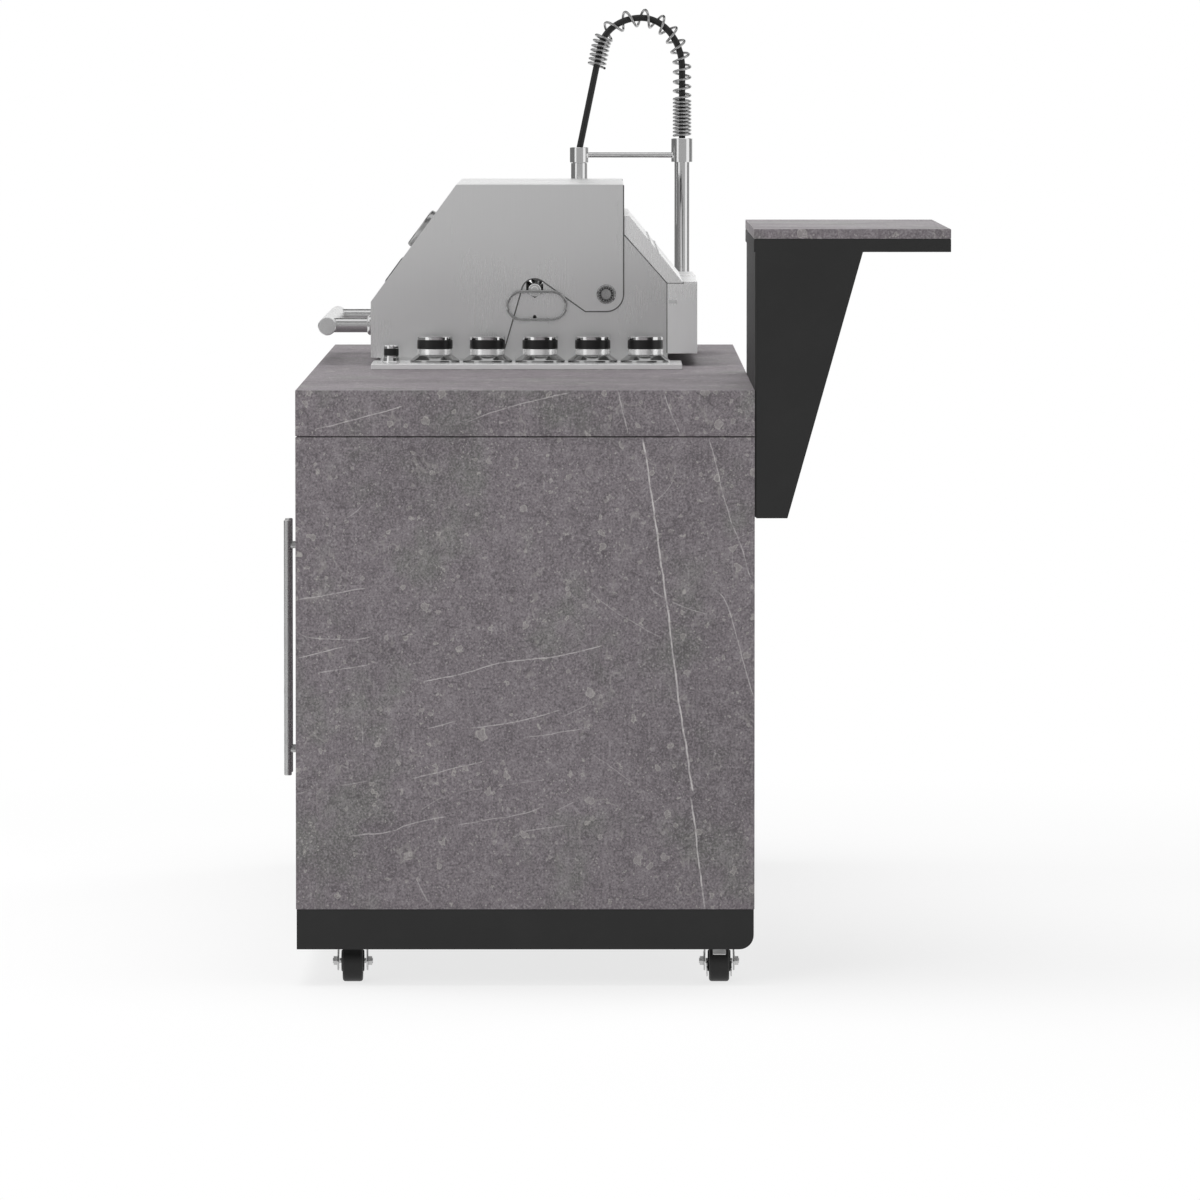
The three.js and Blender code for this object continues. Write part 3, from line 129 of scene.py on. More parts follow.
class Graph:
    """A material's node tree, with short calls for the nodes that the finishes use."""

    def __init__(self, name: str) -> None:
        """Starts a material.

        Args:
            name: the material's name.
        """
        self.material = bpy.data.materials.new(name)
        self.material.use_nodes = True
        self.tree = self.material.node_tree
        self.shader = self.tree.nodes["Principled BSDF"]
        self.place = self.tree.nodes.new("ShaderNodeTexCoord").outputs["Object"]

    def node(self, kind: str, **inputs: Feed) -> bpy.types.Node:
        """Adds a node.

        Args:
            kind: the node's type, without its Shader prefix.
            inputs: values or sockets by the input's name, with _ for a space.

        Returns:
            The node.
        """
        made = self.tree.nodes.new("ShaderNode" + kind)
        for name, value in inputs.items():
            self.feed(made.inputs[name.replace("_", " ")], value)
        return made

    def feed(self, target: Socket, value: Feed) -> None:
        """Links a socket to an input, or sets a plain value there.

        Args:
            target: the input.
            value: a socket, number, colour or vector.
        """
        if isinstance(value, Socket):
            self.tree.links.new(value, target)
        else:
            target.default_value = value

    def sum(self, operation: str, first: Feed, second: Feed = 0.0) -> Socket:
        """Works out a Math node.

        Args:
            operation: the Math node's operation.
            first: its first number or socket.
            second: its second number or socket.

        Returns:
            The result's socket.
        """
        made = self.tree.nodes.new("ShaderNodeMath")
        made.operation = operation
        self.feed(made.inputs[0], first)
        self.feed(made.inputs[1], second)
        return made.outputs[0]

    def away(self, value: Feed, middle: Feed = 0.5) -> Socket:
        """Gives how far a value lies from a middle one."""
        return self.sum("ABSOLUTE", self.sum("SUBTRACT", value, middle))

    def largest(self, sockets: Iterable[Socket]) -> Socket:
        """Gives the largest of several values.

        Args:
            sockets: their sockets, used one by one.

        Returns:
            The result's socket.
        """
        total = None
        for socket in sockets:
            total = socket if total is None else self.sum("MAXIMUM", total, socket)
        return total

    def spread(self, value: Feed, low: float, high: float, to_low: float = 0.0,
               to_high: float = 1.0) -> Socket:
        """Maps a range of a value smoothly to another range.

        Args:
            value: the socket that is mapped.
            low: the value that gives to_low.
            high: the value that gives to_high.
            to_low: the result at low and below.
            to_high: the result at high and above.

        Returns:
            The result's socket.
        """
        made = self.tree.nodes.new("ShaderNodeMapRange")
        made.interpolation_type = "SMOOTHSTEP"
        for index, number in enumerate((value, low, high, to_low, to_high)):
            self.feed(made.inputs[index], number)
        return made.outputs[0]

    def stretched(self, scale: Point, shift: Point = (0, 0, 0)) -> Socket:
        """Gives the object's coordinates, scaled and shifted on each axis."""
        return self.node("Mapping", Vector=self.place, Scale=scale, Location=shift).outputs[0]

    def noise(self, scale: float, detail: float = 4.0, rough: float = 0.5,
              place: Socket | None = None) -> Socket:
        """Gives a noise's factor, by its frequency per metre, its octaves, their strength and its vector."""
        made = self.node("TexNoise", Vector=place or self.place, Scale=scale, Detail=detail, Roughness=rough)
        return made.outputs[0]

    def blend(self, share: Feed, first: Feed, second: Feed) -> Socket:
        """Mixes two colours.

        Args:
            share: the second colour's share.
            first: a colour or its socket.
            second: a colour or its socket.

        Returns:
            The mixed colour's socket.
        """
        made = self.tree.nodes.new("ShaderNodeMix")
        made.data_type = "RGBA"
        self.feed(made.inputs[0], share)
        self.feed(made.inputs[6], first)
        self.feed(made.inputs[7], second)
        return made.outputs[2]

    def bump(self, height: Socket, strength: float, distance: float) -> None:
        """Bumps the surface by a height's socket, a strength and the metres of a full step."""
        made = self.node("Bump", Height=height, Strength=strength, Distance=distance)
        self.set(Normal=made.outputs[0])

    def set(self, **inputs: Feed) -> None:
        """Sets or links the shader's own inputs, named with _ for a space."""
        for name, value in inputs.items():
            self.feed(self.shader.inputs[name.replace("_", " ")], value)


def grey(level: float) -> Colour:
    """Gives a linear grey for an sRGB level from 0 to 255."""
    return colour(level, level, level)


def colour(red: float, green: float, blue: float) -> Colour:
    """Turns an sRGB colour into the linear one that nodes hold.

    Args:
        red: from 0 to 255.
        green: from 0 to 255.
        blue: from 0 to 255.

    Returns:
        The linear colour, with an alpha of 1.
    """
    channels = (value / 255 for value in (red, green, blue))
    linear = [value / 12.92 if value <= 0.04045 else ((value + 0.055) / 1.055) ** 2.4 for value in channels]
    return (linear[0], linear[1], linear[2], 1.0)


@dataclass(frozen=True)
class Vein:
    """A pale line in the stone of the near end, by points across (Y) and up (Z), in the island's own Y."""

    points: Profile
    strength: float = 0.5
    width: float = 0.0016


NEAR_END_VEINS = (
    Vein(((0.180, 0.837), (0.190, 0.772), (0.202, 0.685), (0.215, 0.592), (0.224, 0.522), (0.234, 0.440),
          (0.244, 0.373), (0.256, 0.295)), 1.0, 0.0024),
    Vein(((0.251, 0.290), (0.260, 0.239), (0.267, 0.177), (0.275, 0.117)), 0.95, 0.0022),
    Vein(((0.280, 0.837), (0.294, 0.785), (0.307, 0.737), (0.321, 0.694), (0.345, 0.622)), 0.55),
    Vein(((0.294, 0.606), (0.310, 0.577), (0.321, 0.539), (0.335, 0.487), (0.349, 0.440)), 0.6),
    Vein(((0.096, 0.606), (0.139, 0.571), (0.183, 0.545), (0.210, 0.530)), 0.4),
    Vein(((-0.350, 0.590), (-0.240, 0.609)), 0.6),
    Vein(((-0.350, 0.543), (-0.272, 0.530), (-0.231, 0.536)), 0.45),
    Vein(((-0.350, 0.501), (-0.272, 0.520)), 0.75),
    Vein(((-0.318, 0.478), (-0.237, 0.492)), 0.5),
    Vein(((-0.155, 0.466), (-0.096, 0.478), (-0.027, 0.496), (0.047, 0.505), (0.120, 0.522)), 0.7),
    Vein(((-0.149, 0.394), (-0.103, 0.406)), 0.55),
    Vein(((-0.087, 0.394), (-0.008, 0.406), (0.055, 0.423)), 0.65),
    Vein(((0.055, 0.411), (0.097, 0.431)), 0.4),
    Vein(((-0.005, 0.379), (0.088, 0.394)), 0.5),
    Vein(((0.094, 0.361), (0.169, 0.307)), 0.3),
    Vein(((-0.173, 0.318), (-0.062, 0.344)), 0.6),
    Vein(((-0.283, 0.307), (-0.239, 0.313)), 0.4),
    Vein(((-0.268, 0.231), (-0.205, 0.236), (-0.184, 0.245), (-0.119, 0.260)), 0.65),
    Vein(((-0.102, 0.247), (-0.047, 0.256), (-0.008, 0.263), (0.026, 0.274)), 0.5),
    Vein(((0.046, 0.268), (0.078, 0.283)), 0.4),
    Vein(((-0.005, 0.236), (0.067, 0.247)), 0.4),
    Vein(((-0.323, 0.849), (-0.184, 0.886)), 0.7),
    Vein(((-0.091, 0.861), (-0.018, 0.886), (0.069, 0.907)), 0.55),
    Vein(((0.142, 0.910), (0.157, 0.842)), 0.6),
    Vein(((0.210, 0.907), (0.236, 0.842)), 0.5),
)


@dataclass(frozen=True)
class StoneFinish:
    """Honed fossil limestone: mottled purple grey, with shells, specks and thin pale cracks."""

    name: str
    base: Colour = colour(114, 108, 112)
    dark: Colour = colour(76, 72, 75)
    green: Colour = colour(108, 110, 105)
    pale: Colour = colour(152, 147, 150)
    shell: Colour = colour(160, 157, 154)
    vein: Colour = colour(186, 182, 182)
    roughness: float = 0.58
    gloss: float = 0.2
    grains: tuple[Point, ...] = ((34.0, 0.3, 0.22), (120.0, 0.37, 0.31), (300.0, 0.7, 0.58))
    fossils: tuple[Point, ...] = ((22.0, 0.22, 0.26), (40.0, 0.24, 0.24), (80.0, 0.27, 0.2))
    rim_strength: float = 0.8
    disc_strength: float = 0.4
    crack_width: float = 0.0016
    crack_shapes: tuple[tuple[Point, Point], ...] = (((1.3, 1.3, 6.0), (0.3, 1.7, 0.9)),
                                                     ((5.0, 5.0, 1.1), (4.1, 0.2, 2.6)))
    vein_bend: float = 0.006
    veins: tuple[Vein, ...] = ()
    face_x: float = 0.0
    centre_y: float = 0.0

    def build(self) -> bpy.types.Material:
        """Makes the material.

        Returns:
            The material.
        """
        graph = Graph(self.name)
        cloud = graph.noise(4.2, 5.0, 0.62)
        moss = graph.spread(graph.noise(6.5, 4.0, 0.6), 0.5, 0.66, 0.0, 0.65)
        tint = graph.blend(moss, self.base, self.green)
        stone = graph.blend(graph.spread(cloud, 0.46, 0.66, 0.0, 0.28), tint, self.dark)
        for scale, dark_share, pale_share in self.grains:
            grain = graph.noise(scale, 2.0, 0.7)
            stone = graph.blend(graph.spread(grain, 0.5, 0.3, 0.0, dark_share), stone, self.dark)
            stone = graph.blend(graph.spread(grain, 0.5, 0.7, 0.0, pale_share), stone, self.pale)
        stone = graph.blend(self.specks(graph), stone, self.shell)
        for scale, radius, share in self.fossils:
            stone = graph.blend(self.shells(graph, scale, radius, share), stone, self.shell)
        stone = graph.blend(self.scratches(graph, (17.0, 17.0, 12.0), 0.3), stone, self.shell)
        stone = graph.blend(self.scratches(graph, (12.0, 12.0, 19.0), 0.45), stone, self.dark)
        stone = graph.blend(self.cracks(graph), stone, self.vein)
        if self.veins:
            stone = graph.blend(self.drawn_veins(graph), stone, self.vein)
        graph.set(Base_Color=stone, Specular_IOR_Level=self.gloss)
        graph.set(Roughness=graph.spread(cloud, 0.3, 0.7, self.roughness - 0.05, self.roughness + 0.06))
        graph.bump(graph.noise(260.0, 5.0, 0.6), 0.12, 0.0002)
        return graph.material

    def specks(self, graph: Graph) -> Socket:
        """Draws small pale specks that gather in patches.

        Args:
            graph: the material's graph.

        Returns:
            The pattern's socket.
        """
        cells = graph.node("TexVoronoi", Vector=graph.place, Scale=230.0)
        chance = graph.node("SeparateColor", Color=cells.outputs["Color"])
        spot = graph.spread(cells.outputs["Distance"], 0.12, 0.4, 0.7, 0.0)
        patchy = graph.spread(graph.noise(16.0, 4.0, 0.6), 0.5, 0.64, 0.01, 0.12)
        return graph.sum("MULTIPLY", spot, graph.sum("LESS_THAN", chance.outputs[0], patchy))

    def shells(self, graph: Graph, scale: float, radius: float, share: float) -> Socket:
        """Draws round fossils as faint discs with a paler rim, in a share of a random pattern's cells.

        Args:
            graph: the material's graph.
            scale: the cells per metre.
            radius: the disc's radius, as a share of a cell.
            share: how many of the cells hold one.

        Returns:
            The pattern's socket.
        """
        wobble = graph.node("TexNoise", Vector=graph.place, Scale=scale * 2.2, Detail=2.0)
        shift = graph.node("VectorMath", Vector=wobble.outputs["Color"])
        shift.operation = "SCALE"
        shift.inputs["Scale"].default_value = 0.7 / scale
        moved = graph.tree.nodes.new("ShaderNodeVectorMath")
        graph.feed(moved.inputs[0], graph.place)
        graph.feed(moved.inputs[1], shift.outputs[0])
        cells = graph.node("TexVoronoi", Vector=moved.outputs[0], Scale=scale)
        parts = graph.node("SeparateColor", Color=cells.outputs["Color"])
        size = graph.spread(parts.outputs[1], 0.0, 1.0, radius * 0.5, radius * 1.15)
        reach = graph.sum("SUBTRACT", cells.outputs["Distance"], size)
        disc = graph.spread(reach, -0.04, 0.03, self.rim_strength * self.disc_strength, 0.0)
        rim = graph.spread(graph.sum("ABSOLUTE", reach), 0.0, 0.045, self.rim_strength, 0.0)
        shown = graph.sum("LESS_THAN", parts.outputs[0], share)
        return graph.sum("MULTIPLY", graph.sum("MAXIMUM", disc, rim), shown)

    def scratches(self, graph: Graph, scale: Point, strength: float) -> Socket:
        """Draws short curved marks where a noise crosses its middle.

        Args:
            graph: the material's graph.
            scale: the noise's frequency on each axis, per metre.
            strength: how strong the marks are.

        Returns:
            The pattern's socket.
        """
        slow = graph.noise(1.0, 2.5, 0.6, graph.stretched(scale, (scale[2], 0.4, scale[0])))
        line = graph.spread(graph.away(slow), 0.004, 0.016, strength, 0.0)
        breaks = graph.noise(24.0, 3.0, 0.6, graph.stretched((1, 1, 1), (0.7, scale[0], 0.1)))
        return graph.sum("MULTIPLY", line, graph.spread(breaks, 0.52, 0.6))

    def cracks(self, graph: Graph) -> Socket:
        """Draws short pale hair cracks where a slow noise crosses its middle."""
        return graph.largest(self.crack(graph, scale, shift) for scale, shift in self.crack_shapes)

    def crack(self, graph: Graph, scale: Point, shift: Point) -> Socket:
        """Draws one family of hair cracks.

        Args:
            graph: the material's graph.
            scale: the noise's frequency on each axis, per metre.
            shift: where the noise starts.

        Returns:
            The pattern's socket.
        """
        slow = graph.noise(1.0, 1.5, 0.3, graph.stretched(scale, shift))
        line = graph.spread(graph.away(slow), 0.0, self.crack_width, 1.0, 0.0)
        breaks = graph.noise(9.0, 3.0, 0.5, graph.stretched((1, 1, 1), shift))
        return graph.sum("MULTIPLY", line, graph.spread(breaks, 0.58, 0.66, 0.0, 0.4))

    def drawn_veins(self, graph: Graph) -> Socket:
        """Draws the listed veins on the near end's face.

        Args:
            graph: the material's graph.

        Returns:
            The pattern's socket.
        """
        split = graph.node("SeparateXYZ", Vector=graph.place)
        bend = graph.sum("MULTIPLY", graph.sum("SUBTRACT", graph.noise(26.0, 3.0), 0.5), self.vein_bend)
        across = graph.sum("ADD", graph.sum("SUBTRACT", split.outputs[1], self.centre_y), bend)
        height = graph.sum("ADD", split.outputs[2], bend)
        fade = graph.spread(graph.noise(70.0, 4.0, 0.7), 0.3, 0.62, 0.25, 1.0)
        total = graph.largest(self.drawn_vein(graph, vein, across, height) for vein in self.veins)
        near = graph.sum("GREATER_THAN", split.outputs[0], self.face_x)
        return graph.sum("MULTIPLY", graph.sum("MULTIPLY", total, fade), near)

    def drawn_vein(self, graph: Graph, vein: Vein, across: Socket, height: Socket) -> Socket:
        """Draws one vein as a curve of height over the width, or the other way round where it is steep.

        Args:
            graph: the material's graph.
            vein: the vein.
            across: the socket of the place across the end.
            height: the socket of the height.

        Returns:
            The vein's socket.
        """
        ys, zs = zip(*vein.points, strict=True)
        steep = max(zs) - min(zs) > max(ys) - min(ys)
        along, aside = (height, across) if steep else (across, height)
        runs = sorted((z, y) if steep else (y, z) for y, z in vein.points)
        low, high = runs[0][0], runs[-1][0]
        rises = [rise for _run, rise in runs]
        base = min(rises)
        span = max(rises) - base
        share = graph.spread(along, low, high)
        share.node.interpolation_type = "LINEAR"
        curve = graph.node("FloatCurve", Value=share)
        line = curve.mapping.curves[0]
        for index, (run, rise) in enumerate(runs):
            spot = ((run - low) / (high - low), (rise - base) / span)
            if index in (0, len(runs) - 1):
                line.points[0 if index == 0 else -1].location = spot
            else:
                line.points.new(*spot)
        curve.mapping.update()
        target = graph.sum("ADD", graph.sum("MULTIPLY", curve.outputs[0], span), base)
        slope = math.hypot(high - low, span) / (high - low)
        reach = graph.away(aside, target)
        stroke = graph.spread(reach, vein.width * 0.2 * slope, vein.width * 0.8 * slope, vein.strength, 0.0)
        middle = graph.away(along, (low + high) / 2)
        half = (high - low) / 2
        ends = graph.spread(middle, half - 0.008, half + 0.001, 1.0, 0.0)
        return graph.sum("MULTIPLY", stroke, ends)


@dataclass(frozen=True)
class SteelFinish:
    """Brushed stainless steel with fine lines along its grain."""

    name: str
    level: float = 241
    grain: Grain = Grain.UPRIGHT
    roughness: float = 0.28
    metallic: float = 1.0

    def build(self) -> bpy.types.Material:
        """Makes the material.

        Returns:
            The material.
        """
        graph = Graph(self.name)
        lines = graph.noise(1.0, 3.0, 0.6, graph.stretched(self.grain.value))
        smear = graph.noise(4.0, 3.0)
        shade = graph.blend(graph.spread(lines, 0.3, 0.7), grey(self.level - 1), grey(self.level + 1))
        graph.set(Metallic=self.metallic, Base_Color=shade)
        rough = graph.sum("ADD", graph.spread(lines, 0.25, 0.75, -0.012, 0.012),
                          graph.spread(smear, 0.3, 0.7, self.roughness - 0.02, self.roughness + 0.03))
        graph.set(Roughness=rough)
        graph.bump(lines, 0.025, 0.0001)
        return graph.material


@dataclass(frozen=True)
class PolishedFinish:
    """Polished or plated metal with faint smudges."""

    name: str
    tone: Colour = grey(230)
    roughness: float = 0.1

    def build(self) -> bpy.types.Material:
        """Makes the material.

        Returns:
            The material.
        """
        graph = Graph(self.name)
        smudge = graph.noise(60.0, 4.0, 0.6)
        graph.set(Metallic=1.0, Base_Color=self.tone)
        graph.set(Roughness=graph.spread(smudge, 0.35, 0.75, self.roughness * 0.7, self.roughness * 1.5))
        return graph.material


@dataclass(frozen=True)
class CoatFinish:
    """Powder coat, rubber or matt plastic: one colour with a fine broken surface."""

    name: str
    tone: Colour
    roughness: float
    pore: float = 900.0
    height: float = 0.00008
    gloss: float = 0.4

    def build(self) -> bpy.types.Material:
        """Makes the material.

        Returns:
            The material.
        """
        graph = Graph(self.name)
        pores = graph.noise(self.pore, 3.0, 0.6)
        wear = graph.noise(11.0, 5.0, 0.6)
        lighter = tuple(min(1.0, channel * 1.25) for channel in self.tone[:3]) + (1.0,)
        graph.set(Base_Color=graph.blend(graph.spread(wear, 0.4, 0.75, 0.0, 0.5), self.tone, lighter))
        graph.set(Roughness=graph.spread(pores, 0.3, 0.7, self.roughness - 0.06, self.roughness + 0.06))
        graph.set(Specular_IOR_Level=self.gloss)
        graph.bump(pores, 0.3, self.height)
        return graph.material


@dataclass(frozen=True)
class GlassFinish:
    """Clear glass for a gauge."""

    name: str

    def build(self) -> bpy.types.Material:
        """Makes the material.

        Returns:
            The material.
        """
        graph = Graph(self.name)
        graph.set(Base_Color=grey(250), Transmission_Weight=1.0, IOR=1.45)
        graph.set(Roughness=graph.spread(graph.noise(40.0, 2.0), 0.4, 0.7, 0.0, 0.04))
        return graph.material


class Finishes:
    """Every material of the island, made once."""

    def __init__(self, near_face_x: float, centre_y: float) -> None:
        """Makes the materials.

        Args:
            near_face_x: X just inside the face of the near end.
            centre_y: Y of the middle of the island's cabinet.
        """
        self.stone = StoneFinish("honed_stone").build()
        self.near_stone = StoneFinish("honed_stone_near_end", veins=NEAR_END_VEINS, face_x=near_face_x,
                                      centre_y=centre_y).build()
        self.bar_stone = StoneFinish("honed_bar_stone", roughness=0.46, gloss=0.4).build()
        self.paint = CoatFinish("black_powder_coat", colour(35, 35, 35), 0.55, gloss=0.3).build()
        self.hood_steel = SteelFinish("brushed_steel_upright").build()
        self.rear_steel = SteelFinish("brushed_steel_rear", 250, metallic=0.75).build()
        self.bar_steel = SteelFinish("brushed_steel_lengthwise", 222, Grain.ALONG_X, 0.26).build()
        self.cross_steel = SteelFinish("brushed_steel_crosswise", 222, Grain.ALONG_Y, 0.26).build()
        self.deck_steel = SteelFinish("brushed_steel_deck", 248, Grain.ALONG_Y, 0.24, 0.7).build()
        self.cap_steel = SteelFinish("brushed_steel_cap", 196, Grain.ALONG_Y, 0.42).build()
        self.chrome = PolishedFinish("polished_chrome").build()
        self.dull_chrome = PolishedFinish("dull_chrome", grey(184), 0.3).build()
        self.wire = PolishedFinish("wire_steel", grey(170), 0.12).build()
        self.zinc = PolishedFinish("bright_zinc", grey(206), 0.36).build()
        self.dark_chrome = PolishedFinish("dark_chrome", grey(134), 0.2).build()
        self.brass = PolishedFinish("machined_brass", colour(196, 160, 92), 0.3).build()
        # painted shade: a flat dark grey for the shadow lines at the hood's edges and round the rear bands
        self.seam_shade = CoatFinish("painted_seam_shade", colour(78, 78, 78), 0.6).build()
        self.black_band = CoatFinish("black_band", colour(18, 18, 18), 0.38).build()
        self.tyre = CoatFinish("black_tyre", colour(24, 24, 24), 0.5).build()
        self.hose = CoatFinish("black_hose", colour(26, 26, 26), 0.42).build()
        self.iron = CoatFinish("cast_iron_coat", colour(30, 30, 30), 0.62, 420.0, 0.0003).build()
        self.dial = CoatFinish("white_dial", colour(226, 226, 222), 0.5).build()
        self.glass = GlassFinish("gauge_glass").build()


def turned(profile: Iterable[Pair], sides: int = ROUND_SIDES, closed: bool = False) -> Shape:
    """Spins a profile about +Z.

    Args:
        profile: pairs of radius and height.
        sides: the steps of the spin.
        closed: whether the profile closes on itself.

    Returns:
        The turned shape.
    """
    shape = bmesh.new()
    verts = [shape.verts.new((radius, 0, height)) for radius, height in profile]
    ends = verts[:1] if closed else []
    edges = [shape.edges.new(pair) for pair in pairwise(verts + ends)]
    bmesh.ops.spin(shape, geom=verts + edges, cent=(0, 0, 0), axis=UP, angle=2 * math.pi, steps=sides,
                   use_merge=True, use_normal_flip=False)
    bmesh.ops.remove_doubles(shape, verts=shape.verts, dist=WELD)
    bmesh.ops.recalc_face_normals(shape, faces=shape.faces)
    return shape


def stand(shape: Shape, origin: Point, direction: Point = UP) -> Shape:
    """Stands a shape that was made about +Z on a point.

    Args:
        shape: the shape.
        origin: where its own origin goes.
        direction: where its +Z points.

    Returns:
        The same shape.
    """
    turn = Vector(UP).rotation_difference(Vector(direction).normalized())
    place = Matrix.Translation(Vector(origin)) @ turn.to_matrix().to_4x4()
    bmesh.ops.transform(shape, matrix=place, verts=shape.verts)
    return shape


def rod(radius: float, length: float, origin: Point, direction: Point = UP, chamfer: float = 0.0004,
        sides: int = ROUND_SIDES) -> Shape:
    """Makes a round bar with broken edges.

    Args:
        radius: its radius.
        length: its length.
        origin: the middle of its first end.
        direction: where it runs.
        chamfer: the width of its broken edges.
        sides: the steps round it.

    Returns:
        The bar.
    """
    profile = [(0, 0), (radius - chamfer, 0), (radius, chamfer), (radius, length - chamfer),
               (radius - chamfer, length), (0, length)]
    return stand(turned(profile, sides), origin, direction)


def block(low: Point, high: Point) -> Shape:
    """Makes a box between two corners.

    Args:
        low: its lowest corner.
        high: its highest corner.

    Returns:
        The box.
    """
    shape = bmesh.new()
    size = Vector(high) - Vector(low)
    middle = (Vector(high) + Vector(low)) / 2
    bmesh.ops.create_cube(shape, size=1.0, matrix=Matrix.Translation(middle) @ Matrix.Diagonal(size.to_4d()))
    return shape


def plate(outline: list[Point], thickness: Point) -> Shape:
    """Extrudes a flat outline.

    Args:
        outline: its corners in order.
        thickness: the vector that it is extruded by.

    Returns:
        The plate.
    """
    shape = bmesh.new()
    face = shape.faces.new([shape.verts.new(point) for point in outline])
    grown = bmesh.ops.extrude_face_region(shape, geom=[face])
    verts = [item for item in grown["geom"] if isinstance(item, bmesh.types.BMVert)]
    bmesh.ops.translate(shape, verts=verts, vec=thickness)
    bmesh.ops.recalc_face_normals(shape, faces=shape.faces)
    return shape


def soften(shape: Shape, width: float, segments: int = 2) -> Shape:
    """Rounds every sharp edge.

    Args:
        shape: the shape.
        width: the width of the rounding.
        segments: its steps.

    Returns:
        The same shape.
    """
    edges = [edge for edge in shape.edges if len(edge.link_faces) == 2 and edge.calc_face_angle(0) > SHARP]
    bmesh.ops.bevel(shape, geom=edges, offset=width, offset_type="OFFSET", segments=segments, profile=0.5,
                    affect="EDGES", clamp_overlap=True, material=-1)
    return shape


def meshed(name: str, shape: Shape) -> bpy.types.Mesh:
    """Turns a shape into a mesh.

    Args:
        name: the mesh's name.
        shape: the shape, which is used up.

    Returns:
        The mesh.
    """
    mesh = bpy.data.meshes.new(name)
    shape.to_mesh(mesh)
    shape.free()
    return mesh


def placed(name: str, data: bpy.types.ID) -> bpy.types.Object:
    """Puts data into the scene.

    Args:
        name: the object's name.
        data: its mesh, lamp or camera.

    Returns:
        The object.
    """
    made = bpy.data.objects.new(name, data)
    bpy.context.scene.collection.objects.link(made)
    return made


def merged(*shapes: Shape) -> Shape:
    """Puts several shapes into the first one.

    Args:
        shapes: the shapes.

    Returns:
        The first shape.
    """
    first = shapes[0]
    for shape in shapes[1:]:
        mesh = meshed("passing", shape)
        first.from_mesh(mesh)
        bpy.data.meshes.remove(mesh)
    return first


def tube(points: list[Vector], diameter: float, closed: bool = False, rings: int = 3) -> Shape:
    """Sweeps a round section along points.

    Args:
        points: the middle line.
        diameter: the section's diameter.
        closed: whether the line closes on itself.
        rings: the section's resolution.

    Returns:
        The tube.
    """
    curve = bpy.data.curves.new("passing", "CURVE")
    curve.dimensions = "3D"
    curve.bevel_depth = diameter / 2
    curve.bevel_resolution = rings
    curve.use_fill_caps = not closed
    spline = curve.splines.new("POLY")
    spline.points.add(len(points) - 1)
    spline.use_cyclic_u = closed
    for spot, point in zip(spline.points, points, strict=True):
        spot.co = (*point, 1)
    holder = bpy.data.objects.new("passing", curve)
    mesh = bpy.data.meshes.new_from_object(holder)
    shape = bmesh.new()
    shape.from_mesh(mesh)
    bpy.data.objects.remove(holder)
    bpy.data.curves.remove(curve)
    bpy.data.meshes.remove(mesh)
    bmesh.ops.remove_doubles(shape, verts=shape.verts, dist=WELD)
    bmesh.ops.recalc_face_normals(shape, faces=shape.faces)
    return shape


def arc(centre: Pair, radius: float, start: float, end: float, steps: int = 12) -> list[Pair]:
    """Gives points about a centre from a first to a last angle, in degrees, in even steps."""
    angles = [math.radians(start + (end - start) * step / steps) for step in range(steps + 1)]
    return [(centre[0] + radius * math.cos(angle), centre[1] + radius * math.sin(angle)) for angle in angles]


def around(centre: Pair, radius: float, count: int) -> list[Pair]:
    """Gives points spread evenly on a circle."""
    return arc(centre, radius, 0, 360, count)[:-1]


def spun(shape: Shape, degrees: float) -> Shape:
    """Turns a shape about +Z.

    Args:
        shape: the shape.
        degrees: how far it turns.

    Returns:
        The same shape.
    """
    turn = Matrix.Rotation(math.radians(degrees), 3, "Z")
    bmesh.ops.rotate(shape, verts=shape.verts, cent=(0, 0, 0), matrix=turn)
    return shape


def middle_of(node: str) -> Vector:
    """Gives the middle of a node's box."""
    low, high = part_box(node)
    return (low + high) / 2


class Bench:
    """Makes finished pieces out of shapes and puts them on their bodies."""

    def __init__(self, frame: dict) -> None:
        self.nodes = frame["nodes"]
        self.count = 0

    def piece(self, name: str, shape: Shape, material: bpy.types.Material, body: str = "island",
              slot: Slot = Slot.CHROME, replaces: str = "") -> None:
        """Makes a piece of a shape.

        Args:
            name: the piece's name.
            shape: its shape, which is used up.
            material: its material.
            body: the body that it rides on.
            slot: the record's slot for its finish; not used.
            replaces: the node that it stands for, if any.
        """
        for face in shape.faces:
            face.smooth = True
        for edge in shape.edges:
            edge.smooth = len(edge.link_faces) == 2 and edge.calc_face_angle(0) < SHARP
        mesh = meshed(name, shape)
        mesh.materials.append(material)
        made = placed(name, mesh)
        made.modifiers.new("even_shading", "WEIGHTED_NORMAL").keep_sharp = True
        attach(made, body)
        if replaces:
            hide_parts(replaces)
        self.count += 1
        log.info("%s rides on %s", name, body)

    def copy(self, node: str) -> Shape:
        """Copies a node's solid with its flat faces merged.

        Args:
            node: the node's name.

        Returns:
            The shape.
        """
        shape = bmesh.new()
        shape.from_mesh(self.nodes[node].data)
        bmesh.ops.remove_doubles(shape, verts=shape.verts, dist=WELD)
        bmesh.ops.dissolve_limit(shape, angle_limit=FLAT, verts=shape.verts, edges=shape.edges, delimit=set())
        return shape

    def softened(self, node: str, name: str, material: bpy.types.Material, slot: Slot, width: float,
                 body: str = "island") -> None:
        """Replaces a node by its own shape with rounded edges of a width."""
        self.piece(name, soften(self.copy(node), width), material, body, slot, node)

    def dress(self, material: bpy.types.Material, *nodes: str) -> None:
        """Gives nodes that keep their solids a material.

        Args:
            material: the material.
            nodes: the nodes' names.
        """
        for node in nodes:
            data = self.nodes[node].data
            data.materials.clear()
            data.materials.append(material)
            log.info("%s keeps its solid", node)


